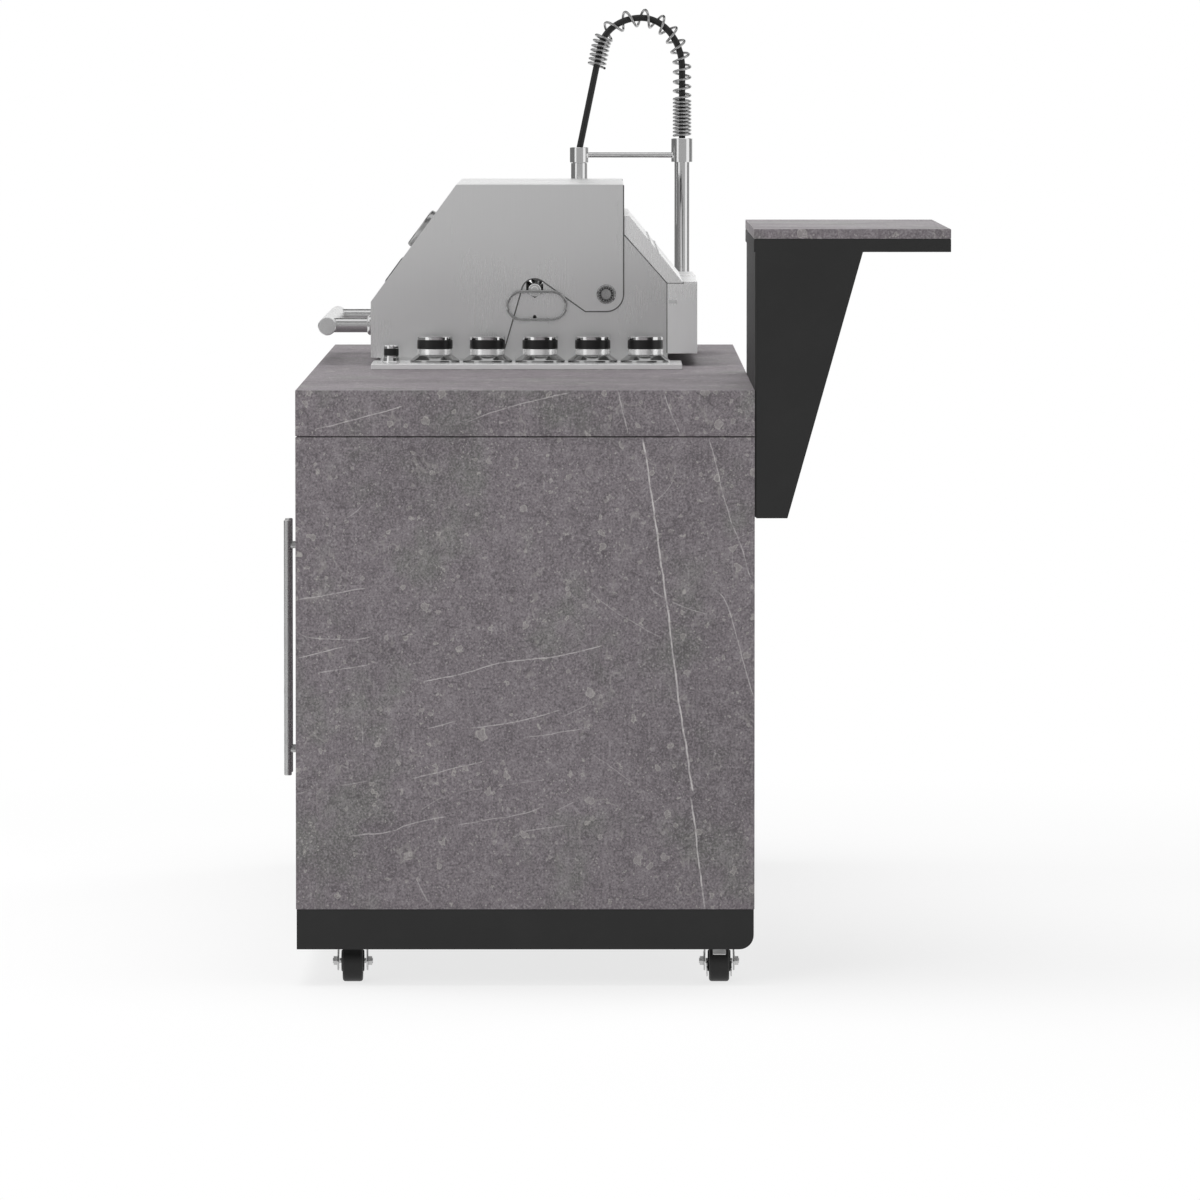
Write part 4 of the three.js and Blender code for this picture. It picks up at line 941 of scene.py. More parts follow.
@dataclass(frozen=True)
class Card:
    """A card for reflections: its bearings from +X, its lowest and highest angle of sight, its sRGB tone."""

    name: str
    start: float
    end: float
    low: float
    high: float
    tone: float


@dataclass(frozen=True)
class Lamp:
    """A square softbox: its place and aim from the island's middle, its side, and its power in watts."""

    name: str
    place: Point
    aim: Point
    size: float
    power: float


@dataclass
class Studio:
    """The camera, the lamps, a plain floor and grey cards that only reflections see."""

    centre_y: float
    near_x: float
    photo_pixels: float = 1200
    focal_pixels: float = 10119
    sensor_mm: float = 36
    vanishing_x_pixels: float = 592
    vanishing_y_pixels: float = 49
    distance: float = 15.4
    eye_aside: float = 0.102
    eye_height: float = 1.429
    ambient: float = 0.5
    floor_size: float = 60
    floor_tone: float = 0.8
    floor_lift: float = 0.72
    fade_start: float = 1.6
    fade_end: float = 3.4
    card_reach: float = 9.0
    card_height: float = 1.2
    cards: tuple[Card, ...] = (
        Card("bar_side_card", -40, 52, -7, 32, 177), Card("bar_side_high_card", -60, 70, 38, 66, 120),
        Card("cook_side_card", -162, -64, -7, 20, 122), Card("rear_side_card", 88, 132, -7, 36, 140),
        Card("high_card", 130, 230, 30, 71, 84))
    card_steps: tuple[int, int] = (8, 24)
    lamps: tuple[Lamp, ...] = (
        Lamp("top_softbox", (0.4, -0.4, 5.2), (0, 0, 0.8), 4.5, 190),
        Lamp("near_softbox", (7.5, -3.0, 3.2), (1.0, 0, 0.7), 3.6, 190),
        Lamp("far_softbox", (-6.5, 4.5, 3.4), (0, 0, 0.8), 3.6, 150),
        Lamp("cook_softbox", (-1.0, -6.0, 2.8), (0, 0, 0.8), 3.6, 120))

    def build(self) -> None:
        """Sets the studio up."""
        bpy.context.scene.view_settings.view_transform = "Standard"
        self.add_camera()
        self.add_world()
        self.add_floor()
        for lamp in self.lamps:
            self.add_lamp(lamp)
        for card in self.cards:
            self.add_card(card)

    def add_camera(self) -> None:
        """Stands the camera off the near end, level with the photograph's horizon."""
        data = bpy.data.cameras.new("camera")
        data.sensor_width = self.sensor_mm
        data.lens = self.sensor_mm * self.focal_pixels / self.photo_pixels
        data.clip_end = 200
        camera = placed("camera", data)
        camera.location = (self.near_x + self.distance, self.centre_y + self.eye_aside, self.eye_height)
        half = self.photo_pixels / 2
        aim = Vector((-self.focal_pixels, half - self.vanishing_x_pixels, self.vanishing_y_pixels - half))
        camera.rotation_euler = aim.to_track_quat("-Z", "Y").to_euler()
        bpy.context.scene.camera = camera

    def add_world(self) -> None:
        """Makes a world that shows white and lights softly."""
        world = bpy.data.worlds.new("studio_world")
        bpy.context.scene.world = world
        world.use_nodes = True
        tree = world.node_tree
        tree.nodes.clear()
        rays = tree.nodes.new("ShaderNodeLightPath")
        clear = rays.outputs["Is Camera Ray"]
        for kind in ("Glossy", "Transmission"):
            larger = tree.nodes.new("ShaderNodeMath")
            larger.operation = "MAXIMUM"
            tree.links.new(clear, larger.inputs[0])
            tree.links.new(rays.outputs[f"Is {kind} Ray"], larger.inputs[1])
            clear = larger.outputs[0]
        shades = []
        for strength in (self.ambient, 1.0):
            shade = tree.nodes.new("ShaderNodeBackground")
            shade.inputs["Color"].default_value = WHITE
            shade.inputs["Strength"].default_value = strength
            shades.append(shade.outputs[0])
        mix = tree.nodes.new("ShaderNodeMixShader")
        for source, target in zip((clear, *shades), mix.inputs, strict=True):
            tree.links.new(source, target)
        output = tree.nodes.new("ShaderNodeOutputWorld")
        tree.links.new(mix.outputs[0], output.inputs["Surface"])

    def add_floor(self) -> None:
        """Lays a pale floor that keeps the island's shadow and shows nearly white."""
        shape = bmesh.new()
        bmesh.ops.create_grid(shape, x_segments=1, y_segments=1, size=self.floor_size / 2)
        mesh = meshed("studio_floor", shape)
        floor = placed("studio_floor", mesh)
        graph = Graph("pale_floor")
        graph.set(Base_Color=(self.floor_tone, self.floor_tone, self.floor_tone, 1), Roughness=1.0,
                  Specular_IOR_Level=0.0)
        rays = graph.node("LightPath")
        seen = graph.sum("MAXIMUM", rays.outputs["Is Camera Ray"], rays.outputs["Is Glossy Ray"])
        reach = graph.node("VectorMath", Vector=graph.place)
        reach.operation = "LENGTH"
        far = graph.spread(reach.outputs["Value"], self.fade_start, self.fade_end, self.floor_lift, 1.0)
        white = graph.node("Emission", Color=WHITE, Strength=1.0)
        mix = graph.node("MixShader")
        shares = (graph.sum("MULTIPLY", seen, far), graph.shader.outputs[0], white.outputs[0])
        for target, share in zip(mix.inputs, shares, strict=True):
            graph.feed(target, share)
        graph.feed(graph.tree.nodes["Material Output"].inputs["Surface"], mix.outputs[0])
        mesh.materials.append(graph.material)

    def add_lamp(self, lamp: Lamp) -> None:
        """Adds a softbox that shiny surfaces and the camera don't show.

        Args:
            lamp: its place, aim, size and power.
        """
        data = bpy.data.lights.new(lamp.name, "AREA")
        data.size = lamp.size
        data.energy = lamp.power
        made = placed(lamp.name, data)
        place, aim = (Vector(spot) + Vector((0, self.centre_y, 0)) for spot in (lamp.place, lamp.aim))
        made.location = place
        made.rotation_euler = (aim - place).to_track_quat("-Z", "Y").to_euler()
        made.visible_camera = False
        made.visible_glossy = False

    def add_card(self, card: Card) -> None:
        """Hangs a curved card that only reflections see.

        Args:
            card: its bearings, heights and tone.
        """
        shape = bmesh.new()
        rise_steps, turn_steps = self.card_steps
        verts = [shape.verts.new((across, 0, up))
                 for across, up in arc((0, 0), self.card_reach, card.low, card.high, rise_steps)]
        edges = [shape.edges.new(pair) for pair in pairwise(verts)]
        bmesh.ops.spin(shape, geom=verts + edges, cent=(0, 0, 0), axis=UP, steps=turn_steps, use_merge=False,
                       angle=math.radians(card.end - card.start))
        start = Matrix.Rotation(math.radians(card.start), 4, "Z")
        place = Matrix.Translation((0, self.centre_y, self.card_height)) @ start
        bmesh.ops.transform(shape, matrix=place, verts=shape.verts)
        mesh = meshed(card.name, shape)
        made = placed(card.name, mesh)
        graph = Graph(card.name)
        graph.set(Base_Color=grey(0), Specular_IOR_Level=0.0)
        graph.set(Emission_Color=grey(card.tone), Emission_Strength=1.0)
        mesh.materials.append(graph.material)
        made.visible_camera = False
        made.visible_diffuse = False
        made.visible_shadow = False
        made.visible_transmission = False


@dataclass
class Assembly(ABC):
    """A part of the island that makes its own pieces."""

    bench: Bench
    finishes: Finishes

    @abstractmethod
    def build(self) -> None:
        """Makes the pieces."""


@dataclass
class Cabinet(Assembly):
    """The stone clad cabinet: worktop, panels, doors with their handles, plinth and inner sheets."""

    door_count: int = 5
    stone_edge: float = 0.0009
    sheet_edge: float = 0.0006
    solid_handle_sides: int = 10
    handle_radius: float = 0.006
    handle_edge: float = 0.001
    post_radius: float = 0.004
    post_edge: float = 0.0003
    collar_radius: float = 0.0058
    collar_length: float = 0.004
    collar_edge: float = 0.0006
    post_spacing: float = 0.320

    def build(self) -> None:
        """Makes the cabinet."""
        bench, finishes = self.bench, self.finishes
        for node, name, finish in (("worktop", "stone_worktop", finishes.near_stone),
                                   ("right_end_panel", "bar_end_cladding", finishes.near_stone),
                                   ("left_end_panel", "sink_end_cladding", finishes.stone),
                                   ("back_panel", "back_cladding", finishes.stone)):
            bench.softened(node, name, finish, Slot.STONE, self.stone_edge)
        for node, name in (("base_plinth", "plinth_skirt"), ("door_frame", "door_frame_sheet")):
            bench.softened(node, name, finishes.paint, Slot.PAINT, self.sheet_edge)
        bench.dress(finishes.zinc, "bar_divider", "sink_divider", "cabinet_floor")
        for number in range(1, self.door_count + 1):
            self.add_door(number)

    def add_door(self, number: int) -> None:
        """Makes a door's stone slab and its bar handle.

        Args:
            number: the door's number.
        """
        bench, finishes = self.bench, self.finishes
        body, node = f"door_{number}", f"door_handle_{number}"
        bench.softened(body, f"door_slab_{number}", finishes.stone, Slot.STONE, self.stone_edge, body)
        low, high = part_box(node)
        middle = middle_of(node)
        bar_y = low.y + self.handle_radius * math.cos(math.pi / self.solid_handle_sides)
        parts = [rod(self.handle_radius, high.z - low.z, (middle.x, bar_y, low.z), UP, self.handle_edge)]
        for end in (-1, 1):
            foot = (middle.x, high.y, middle.z + end * self.post_spacing / 2)
            for radius, length, edge in ((self.post_radius, high.y - bar_y, self.post_edge),
                                         (self.collar_radius, self.collar_length, self.collar_edge)):
                parts.append(rod(radius, length, foot, TO_COOK, edge, THIN_SIDES))
        bench.piece(f"bar_handle_{number}", merged(*parts), finishes.dull_chrome, body, Slot.STEEL, node)


@dataclass
class Casters(Assembly):
    """Six swivel casters; those at the rear have a brake."""

    kinds: tuple[CasterKind, ...] = (CasterKind.PLAIN, CasterKind.BRAKED) * 3
    bore: float = 0.0043
    hub_radius: float = 0.0165
    hub_edge: float = 0.001
    web_depth: float = 0.003
    tread_inset: float = 0.002
    tread_round: float = 0.0042
    pivot_inset: float = 0.016
    fork_gap: float = 0.0205
    fork_sheet: float = 0.0024
    fork_edge: float = 0.0005
    fork_flare: float = 0.00084
    flare_height: float = 0.024
    leg_width: float = 0.030
    crown_drop: float = 0.0087
    crown_sheet: float = 0.0028
    crown_edge: float = 0.0011
    axle_radius: float = 0.004
    bolt_radius: float = 0.0042
    bolt_end: float = 0.0012
    nut_radius: float = 0.0075
    nut_length: float = 0.0058
    head: Profile = ((0, 0), (0.0205, 0), (0.0205, 0.0006), (0.012, 0.0026), (0.0069, 0.0029),
                     (0.0069, 0.0087), (0, 0.0087))
    head_sink: float = 0.0006
    cheek_gap: float = 0.0178
    cheek_sheet: float = 0.0016
    tooth_radii: Pair = (0.0215, 0.0245)
    tooth_count: int = 12
    link_gap: float = 0.0232
    link_sheet: float = 0.002
    link: tuple[Pair, Pair] = ((-0.03, 0.004), (-0.008, 0.012))
    pedal: Profile = ((0.0305, 0.022), (0.039, 0.012), (0.039, 0.0145), (0.0305, 0.0245))
    pedal_width: float = 0.020
    plate_bolt_spacing: float = 0.046
    plate_bolt_rise: float = 0.0057

    def build(self) -> None:
        """Makes the casters."""
        for number, kind in enumerate(self.kinds, 1):
            self.add_wheel(number)
            self.add_fork(number, kind)
            self.add_plate_bolts(number)

    def add_wheel(self, number: int) -> None:
        """Makes a wheel with a rounded tread and a stepped hub.

        Args:
            number: the caster's number.
        """
        node = f"caster_wheel_{number}"
        low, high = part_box(node)
        radius, half = (high.z - low.z) / 2, (high.y - low.y) / 2
        hub, tread, rounding = self.hub_radius, half - self.tread_inset, self.tread_round
        web = -tread + self.web_depth
        profile = [(self.bore, -half), (hub - self.hub_edge, -half), (hub, -half + self.hub_edge),
                   (hub + 0.0005, web), (radius - 0.011, web), (radius - 0.0095, -tread),
                   *arc((radius - rounding, rounding - tread), rounding, -90, 0, 6)]
        profile += [(ring, -height) for ring, height in reversed(profile)]
        wheel = stand(turned(profile, closed=True), middle_of(node), TO_REAR)
        self.bench.piece(f"tyre_{number}", wheel, self.finishes.tyre, f"wheel_{number}", Slot.RUBBER, node)

    def add_fork(self, number: int, kind: CasterKind) -> None:
        """Makes a fork of pressed sheet with its axle bolt, its swivel head and any brake.

        Args:
            number: the caster's number.
            kind: whether it has a brake.
        """
        node = f"caster_fork_{number}"
        low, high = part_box(node)
        wheel = middle_of(f"caster_wheel_{number}")
        pivot = Vector((low.x + self.pivot_inset, wheel.y, high.z - self.crown_drop))
        parts = [part for side in (-1, 1) for part in self.leg(pivot, wheel, side)]
        reach = Vector((self.pivot_inset, self.fork_gap + self.fork_sheet, 0))
        crown = block(pivot - reach - Vector((0, 0, self.crown_sheet)), pivot + reach)
        parts.append(soften(crown, self.crown_edge, 3))
        end = wheel - Vector((0, self.fork_gap, 0))
        parts.append(rod(self.axle_radius, 2 * self.fork_gap, end, TO_REAR, 0.0003, THIN_SIDES))
        parts.append(stand(turned(self.head), pivot - Vector((0, 0, self.head_sink))))
        if kind is CasterKind.BRAKED:
            parts += self.brake(wheel)
        self.bench.piece(f"fork_{number}", merged(*parts), self.finishes.zinc, f"caster_{number}", Slot.ZINC,
                         node)

    def leg(self, pivot: Vector, wheel: Vector, side: int) -> list[Shape]:
        """Makes a fork leg that flares towards its foot, with its nut and the bolt's end.

        Args:
            pivot: the middle of the crown's top.
            wheel: the middle of the wheel.
            side: 1 for the rear leg, -1 for the front one.

        Returns:
            The leg's shapes.
        """
        half = self.leg_width / 2
        outline = [(pivot.x - half, pivot.z - 0.001), (pivot.x + half, pivot.z - 0.001),
                   *arc((wheel.x, wheel.z), half, 0, -180, 16)]
        inner = wheel.y + side * self.fork_gap
        sheet = plate([(x, inner, z) for x, z in outline], (0, side * self.fork_sheet, 0))
        for vert in sheet.verts:
            drop = wheel.z + self.flare_height - vert.co.z
            if drop > 0:
                vert.co.y += side * self.fork_flare * min(1.0, drop / self.flare_height)
        face = (wheel.x, inner + side * (self.fork_sheet + self.fork_flare), wheel.z)
        out = (0, side, 0)
        end = rod(self.bolt_radius, self.nut_length + self.bolt_end, face, out, 0.0005, THIN_SIDES)
        return [soften(sheet, self.fork_edge), self.nut(face, out), end]

    def nut(self, origin: Point, direction: Point) -> Shape:
        """Makes a hexagon nut on its seat's middle."""
        return soften(rod(self.nut_radius, self.nut_length, origin, direction, 0.0002, 6), 0.0004)

    def brake(self, wheel: Vector) -> list[Shape]:
        """Makes a brake: a toothed cheek on each side of the wheel and a pedal behind it.

        Args:
            wheel: the middle of the wheel.

        Returns:
            The brake's shapes.
        """
        parts = []
        steps = self.tooth_count * 2
        for side in (-1, 1):
            inner = wheel.y + side * self.cheek_gap
            outline = []
            for step in range(steps):
                radius = self.tooth_radii[step % 2]
                angle = math.pi * (1.05 + 0.9 * step / (steps - 1))
                x, z = wheel.x + radius * math.cos(angle), wheel.z + radius * math.sin(angle)
                outline.append((x, inner, z))
            outline += [(wheel.x + x, inner, wheel.z - 0.004) for x in (0.012, -0.012)]
            parts.append(soften(plate(outline, (0, side * self.cheek_sheet, 0)), 0.0003))
            link = [wheel + Vector((x, side * self.link_gap + edge * self.link_sheet / 2, z))
                    for (x, z), edge in zip(self.link, (-1, 1), strict=True)]
            parts.append(soften(block(*link), 0.0005))
        edge = wheel.y - self.pedal_width / 2
        pedal = plate([(wheel.x + x, edge, wheel.z + z) for x, z in self.pedal], (0, self.pedal_width, 0))
        parts.append(soften(pedal, 0.0006))
        return parts

    def add_plate_bolts(self, number: int) -> None:
        """Adds the four bolt heads that hold a caster's plate.

        Args:
            number: the caster's number.
        """
        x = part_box(f"caster_fork_{number}")[0].x + self.pivot_inset
        y = middle_of(f"caster_wheel_{number}").y
        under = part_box("cabinet_floor")[0].z + self.plate_bolt_rise
        half = self.plate_bolt_spacing / 2
        heads = [self.nut((x + dx * half, y + dy * half, under), DOWN) for dx in (-1, 1) for dy in (-1, 1)]
        self.bench.piece(f"plate_bolts_{number}", merged(*heads), self.finishes.zinc, slot=Slot.ZINC)


@dataclass
class BarShelf(Assembly):
    """The raised bar: a stone slab on a painted steel bracket."""

    stone_edge: float = 0.0009
    sheet_edge: float = 0.0007
    screw: Profile = ((0, 0), (0.006, 0), (0.00564, 0.00112), (0.0036, 0.0016), (0, 0.0016))
    screw_count: int = 5
    screw_inset: float = 0.06
    screw_rises: Pair = (0.03, 0.16)
    plate_sheet: float = 0.004

    def build(self) -> None:
        """Makes the bar shelf."""
        bench, finishes = self.bench, self.finishes
        bench.softened("bar_top", "bar_slab", finishes.bar_stone, Slot.BAR_STONE, self.stone_edge)
        bench.softened("bar_bracket", "bar_bracket_sheet", finishes.paint, Slot.PAINT, self.sheet_edge)
        low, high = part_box("bar_bracket")
        start, y = low.x + self.screw_inset, low.y + self.plate_sheet
        spacing = (high.x - self.screw_inset - start) / (self.screw_count - 1)
        screws = [stand(turned(self.screw, THIN_SIDES), (start + step * spacing, y, low.z + rise), TO_REAR)
                  for step in range(self.screw_count) for rise in self.screw_rises]
        bench.piece("bracket_screws", merged(*screws), finishes.zinc, slot=Slot.ZINC)


@dataclass
class Grill(Assembly):
    """The fixed part of the grill: firebox, rear housing, grates, burners, spit and side loop."""

    shell_edge: float = 0.0004
    cover_edge: float = 0.0008
    grate_edge: float = 0.0016
    spit_radius: float = 0.0063
    spit_tip: float = 0.009
    spit_collar: float = 0.016
    loop_wire: float = 0.005
    stud_spread: Profile = ((0.0165, 1), (-0.022, -1), (0.022, -1))
    catch: tuple[Point, Point] = ((-0.0002, -0.0474, 0.082), (0.0012, -0.0334, 0.088))
    louvre_count: int = 6
    louvre_length: float = 0.055
    louvre_edge: float = 0.0006
    louvre_shares: Pair = (0.38, 0.52)
    louvre: Profile = ((-0.006, -0.0003), (-0.002, 0.0022), (0.006, -0.0003))
    cover_top: Pair = (0.009, 0.0)
    cover_foot: Pair = (0.098, 0.1156)
    knee_height: float = 0.1150
    band_sheet: float = 0.001
    band_edge: float = 0.0004
    box_depth: float = 0.0490
    joint_shade_half: float = 0.002

    def build(self) -> None:
        """Makes the fixed parts of the grill."""
        bench, finishes = self.bench, self.finishes
        bench.softened("firebox", "firebox_shell", finishes.hood_steel, Slot.STEEL, self.shell_edge)
        bench.softened("rear_housing", "rear_cover", finishes.rear_steel, Slot.STEEL, self.cover_edge)
        for number in (1, 2):
            bench.softened(f"cooking_grate_{number}", f"iron_grate_{number}", finishes.iron, Slot.IRON,
                           self.grate_edge)
        bench.dress(finishes.cross_steel, "burner_set")
        bench.dress(finishes.brass, "gas_manifold")
        self.add_spit()
        self.add_side_loop()
        low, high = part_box("rear_housing")
        self.add_catch_and_louvres(low, high)
        self.add_rear_bands(low, high)

    def add_spit(self) -> None:
        """Makes the spit rod with a collar at each side plate."""
        low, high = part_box("spit_rod")
        middle = middle_of("spit_rod")
        parts = [rod(self.spit_radius, high.x - low.x, (low.x, middle.y, middle.z), TO_BAR, 0.0009)]
        parts += [rod((high.z - low.z) / 2, self.spit_collar, (start, middle.y, middle.z), TO_BAR, 0.001)
                  for start in (low.x + self.spit_tip, high.x - self.spit_tip - self.spit_collar)]
        self.bench.piece("spit", merged(*parts), self.finishes.cross_steel, "spit", Slot.STEEL, "spit_rod")

    def add_side_loop(self) -> None:
        """Makes the wire loop on its three studs."""
        low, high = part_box("side_loop")
        middle = middle_of("side_loop")
        x = high.x - self.loop_wire / 2
        radius = (high.z - low.z - self.loop_wire) / 2
        straight = (high.y - low.y) / 2 - (high.z - low.z) / 2
        ring = [*arc((middle.y + straight, middle.z), radius, -90, 90, 24),
                *arc((middle.y - straight, middle.z), radius, 90, 270, 24)]
        parts = [tube([Vector((x, y, z)) for y, z in ring], self.loop_wire, closed=True, rings=5)]
        for aside, up in self.stud_spread:
            seat = (low.x, middle.y + aside, middle.z + up * radius)
            parts.append(rod(self.loop_wire / 2, x - low.x, seat, TO_BAR, 0.0002, THIN_SIDES))
        self.bench.piece("wire_loop", merged(*parts), self.finishes.wire, replaces="side_loop")

    def add_catch_and_louvres(self, low: Vector, high: Vector) -> None:
        """Adds the small bar on the rear box and the raised louvres on the sloped cover.

        Args:
            low: the lowest corner of the cover's box.
            high: its highest corner.
        """
        base = Vector((high.x, high.y, low.z))
        bar = block(*(base + Vector(corner) for corner in self.catch))
        self.bench.piece("rear_catch", soften(bar, 0.0005), self.finishes.chrome)
        top = Vector((0, low.y + self.cover_top[0], high.z - self.cover_top[1]))
        foot = Vector((0, low.y + self.cover_foot[0], low.z + self.cover_foot[1]))
        along = (foot - top).normalized()
        out = Vector((0, -along.z, along.y))
        parts = []
        for step in range(self.louvre_count):
            x = low.x + (high.x - low.x) * (step + 0.5) / self.louvre_count
            for share in self.louvre_shares:
                spot = top.lerp(foot, share) + Vector((x, 0, 0))
                ridge = [spot + along * run + out * rise for run, rise in self.louvre]
                parts.append(soften(plate(ridge, (self.louvre_length, 0, 0)), self.louvre_edge))
        self.bench.piece("rear_louvres", merged(*parts), self.finishes.hood_steel, slot=Slot.STEEL)

    def add_rear_bands(self, low: Vector, high: Vector) -> None:
        """Adds the folded bands on both sides of the rear cover, and a dark strip of painted shade round
        them.

        Args:
            low: the lowest corner of the cover's box.
            high: its highest corner.
        """
        knee, front, fold = low.z + self.knee_height, low.y + 0.0008, high.y - self.box_depth
        toe, rear, bottom, half = low.z + 0.1957, low.y + 0.0968, low.z + 0.001, self.joint_shade_half
        slope = [(front, toe), (front, high.z - 0.001), (low.y + 0.0082, high.z - 0.001),
                 (rear, knee + 0.0008), (fold, knee + 0.0008)]
        upright = [(fold, knee - 0.0004), (high.y - 0.0008, knee - 0.0004), (high.y - 0.0008, bottom),
                   (fold, bottom)]
        # outline of the painted shade strip where the bands meet the cover
        joint_shade = [(front, toe - 0.0018), (fold - 0.0014, knee), (fold - 0.0014, bottom), (fold + half, bottom),
                 (fold + half, knee - 0.0016), (rear + half, knee - 0.0016), (rear + half, knee + half),
                 (fold + half, knee + half), (front, toe + half)]
        bands, joints = [], []
        for x, way in ((high.x, 1), (low.x, -1)):
            for outline in (slope, upright):
                sheet = plate([(x, y, z) for y, z in outline], (way * self.band_sheet, 0, 0))
                bands.append(soften(sheet, self.band_edge))
            joints.append(plate([(x, y, z) for y, z in joint_shade], (way * self.band_sheet / 2, 0, 0)))
        self.bench.piece("rear_side_bands", merged(*bands), self.finishes.rear_steel, slot=Slot.STEEL)
        # joints holds the painted shade strips round the bands
        self.bench.piece("rear_side_joint_shade", merged(*joints), self.finishes.seam_shade, slot=Slot.STEEL)


@dataclass
class Hood(Assembly):
    """The hinged hood with its handle, gauge, bare name plate and hinge caps."""

    sheet_edge: float = 0.0005
    slant: Pair = (0.1404, 0.192)
    handle_radius: float = 0.015
    handle_reach: float = 0.0724
    post_inset: float = 0.075
    post: Profile = ((0, FIT), (0.0165, FIT), (0.0165, 0.004), (0.0145, 0.0068), (0.012, 0.008),
                     (0.012, 0.0724), (0, 0.0724))
    gauge_radius: float = 0.036
    gauge_height: float = 0.010
    dial_inset: float = 0.006
    dial_height: float = 0.0056
    tick_count: int = 21
    tick_width: float = 0.0007
    tick_ends: Pair = (0.0125, 0.0105)
    tick_rim: float = 0.0075
    needle: tuple[Pair, ...] = ((-0.006, -0.0011), (0.021, 0), (-0.006, 0.0011))
    gauge_sweep: Pair = (225, -45)
    badge_drop: float = 0.083
    badge_length: float = 0.110
    badge_height: float = 0.048
    badge_sheet: float = 0.0036
    badge_border: float = 0.002
    badge_step: float = 0.0006
    pin_radius: float = 0.006
    hinge_ring: Profile = ((0.0086, FIT), (0.0158, FIT), (0.016, 0.0012), (0.0152, 0.0042), (0.0138, 0.0055),
                           (0.0118, 0.0056), (0.0104, 0.0044), (0.0098, 0.0030), (0.0086, 0.0028))
    hinge_cap: Profile = ((0, FIT), (0.0085, FIT), (0.0085, 0.0052), (0.0079, 0.0059), (0, 0.006))
    rib: tuple[Point, Point] = ((0.0099, -0.0005, 0.0026), (0.0152, 0.0005, 0.0052))
    rib_count: int = 16
    edge_wire: float = 0.0022
    edge_inset: float = 0.0004
    arch: Pair = (0.269, 0.108)
    arch_radius: float = 0.022
    arch_bearings: Pair = (172, 55)
    skirt_slope: float = 0.2855
    lobe_front: float = 0.352
    lobe_radius: float = 0.0284
    front_y: float = field(init=False)
    slope: Vector = field(init=False)
    outward: Vector = field(init=False)

    def __post_init__(self) -> None:
        """Works out the slope of the hood's slanted face."""
        self.front_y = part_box("hood")[0].y
        self.slope = Vector((0, *self.slant)).normalized()
        self.outward = Vector((0, -self.slope.z, self.slope.y))

    def build(self) -> None:
        """Makes the hood."""
        self.bench.softened("hood", "hood_shell", self.finishes.hood_steel, Slot.STEEL, self.sheet_edge,
                            "hood")
        self.add_handle()
        self.add_gauge()
        self.add_badge()
        self.add_hinge_caps()
        self.add_edge_shade()

    def add_edge_shade(self) -> None:
        """Draws painted shade: a dark line along the lower edge of each side sheet, round the spit arch and
        the hinge lobe.
        """
        low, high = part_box("hood")
        hinge, lobe = middle_of("hood_hinge_rod"), self.lobe_radius
        arch = arc((low.y + self.arch[0], low.z + self.arch[1]), self.arch_radius, *self.arch_bearings, 20)
        arch_y, arch_z = arch[0]
        line = [(arch_y - self.skirt_slope * (arch_z - low.z), low.z + 0.001), *arch,
                (low.y + self.lobe_front, hinge.z - lobe), *arc((hinge.y, hinge.z), lobe, -90, 0),
                (hinge.y + lobe, high.z - 0.001)]
        # painted shade: dark tubes on the hood's overlap with the firebox, standing for its shadow line
        edges = [tube([Vector((x, y, z)) for y, z in line], self.edge_wire, rings=2)
                 for x in (low.x + self.edge_inset, high.x - self.edge_inset)]
        self.bench.piece("hood_edge_shade", merged(*edges), self.finishes.seam_shade, "hood", Slot.STEEL)

    def add_handle(self) -> None:
        """Makes the bar handle on two posts."""
        low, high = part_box("hood_handle")
        z = middle_of("hood_handle").z
        bar = (low.x, self.front_y - self.handle_reach, z)
        parts = [rod(self.handle_radius, high.x - low.x, bar, TO_BAR, 0.0012)]
        parts += [stand(turned(self.post), (x, self.front_y, z), TO_COOK)
                  for x in (low.x + self.post_inset, high.x - self.post_inset)]
        self.bench.piece("hood_bar_handle", merged(*parts), self.finishes.bar_steel, "hood", Slot.STEEL,
                         "hood_handle")

    def gauge_base(self) -> Vector:
        """Gives the middle of the gauge's seat on the slanted face."""
        return middle_of("thermometer") - self.outward * (self.gauge_height + FIT) / 2

    def add_gauge(self) -> None:
        """Makes the gauge: a chrome case, a white dial with ticks, a needle and a domed glass."""
        radius, height, dial = self.gauge_radius, self.gauge_height, self.dial_height
        floor, rim = height * 0.5, radius - self.dial_inset
        case = turned([(0, FIT), (radius, FIT), (radius, height * 0.55), (radius - 0.0008, height * 0.85),
                       (radius - 0.003, height), (radius - 0.005, height * 0.9), (radius - 0.0055, floor),
                       (0, floor)])
        face = turned([(0, floor), (rim, floor), (rim, dial), (0, dial)])
        lens_radius = radius - 0.0052
        lens = turned([(0, height * 0.86), (0.016, height * 0.83), (lens_radius, height * 0.72),
                       (lens_radius, height * 0.66), (0.016, height * 0.77), (0, height * 0.8)])
        finishes, base = self.finishes, self.gauge_base()
        for name, shape, finish, node in (("case", case, finishes.dull_chrome, "thermometer"),
                                          ("dial", face, finishes.dial, ""),
                                          ("marks", self.gauge_marks(), finishes.black_band, ""),
                                          ("glass", lens, finishes.glass, "")):
            self.bench.piece(f"gauge_{name}", stand(shape, base, self.outward), finish, "hood", replaces=node)

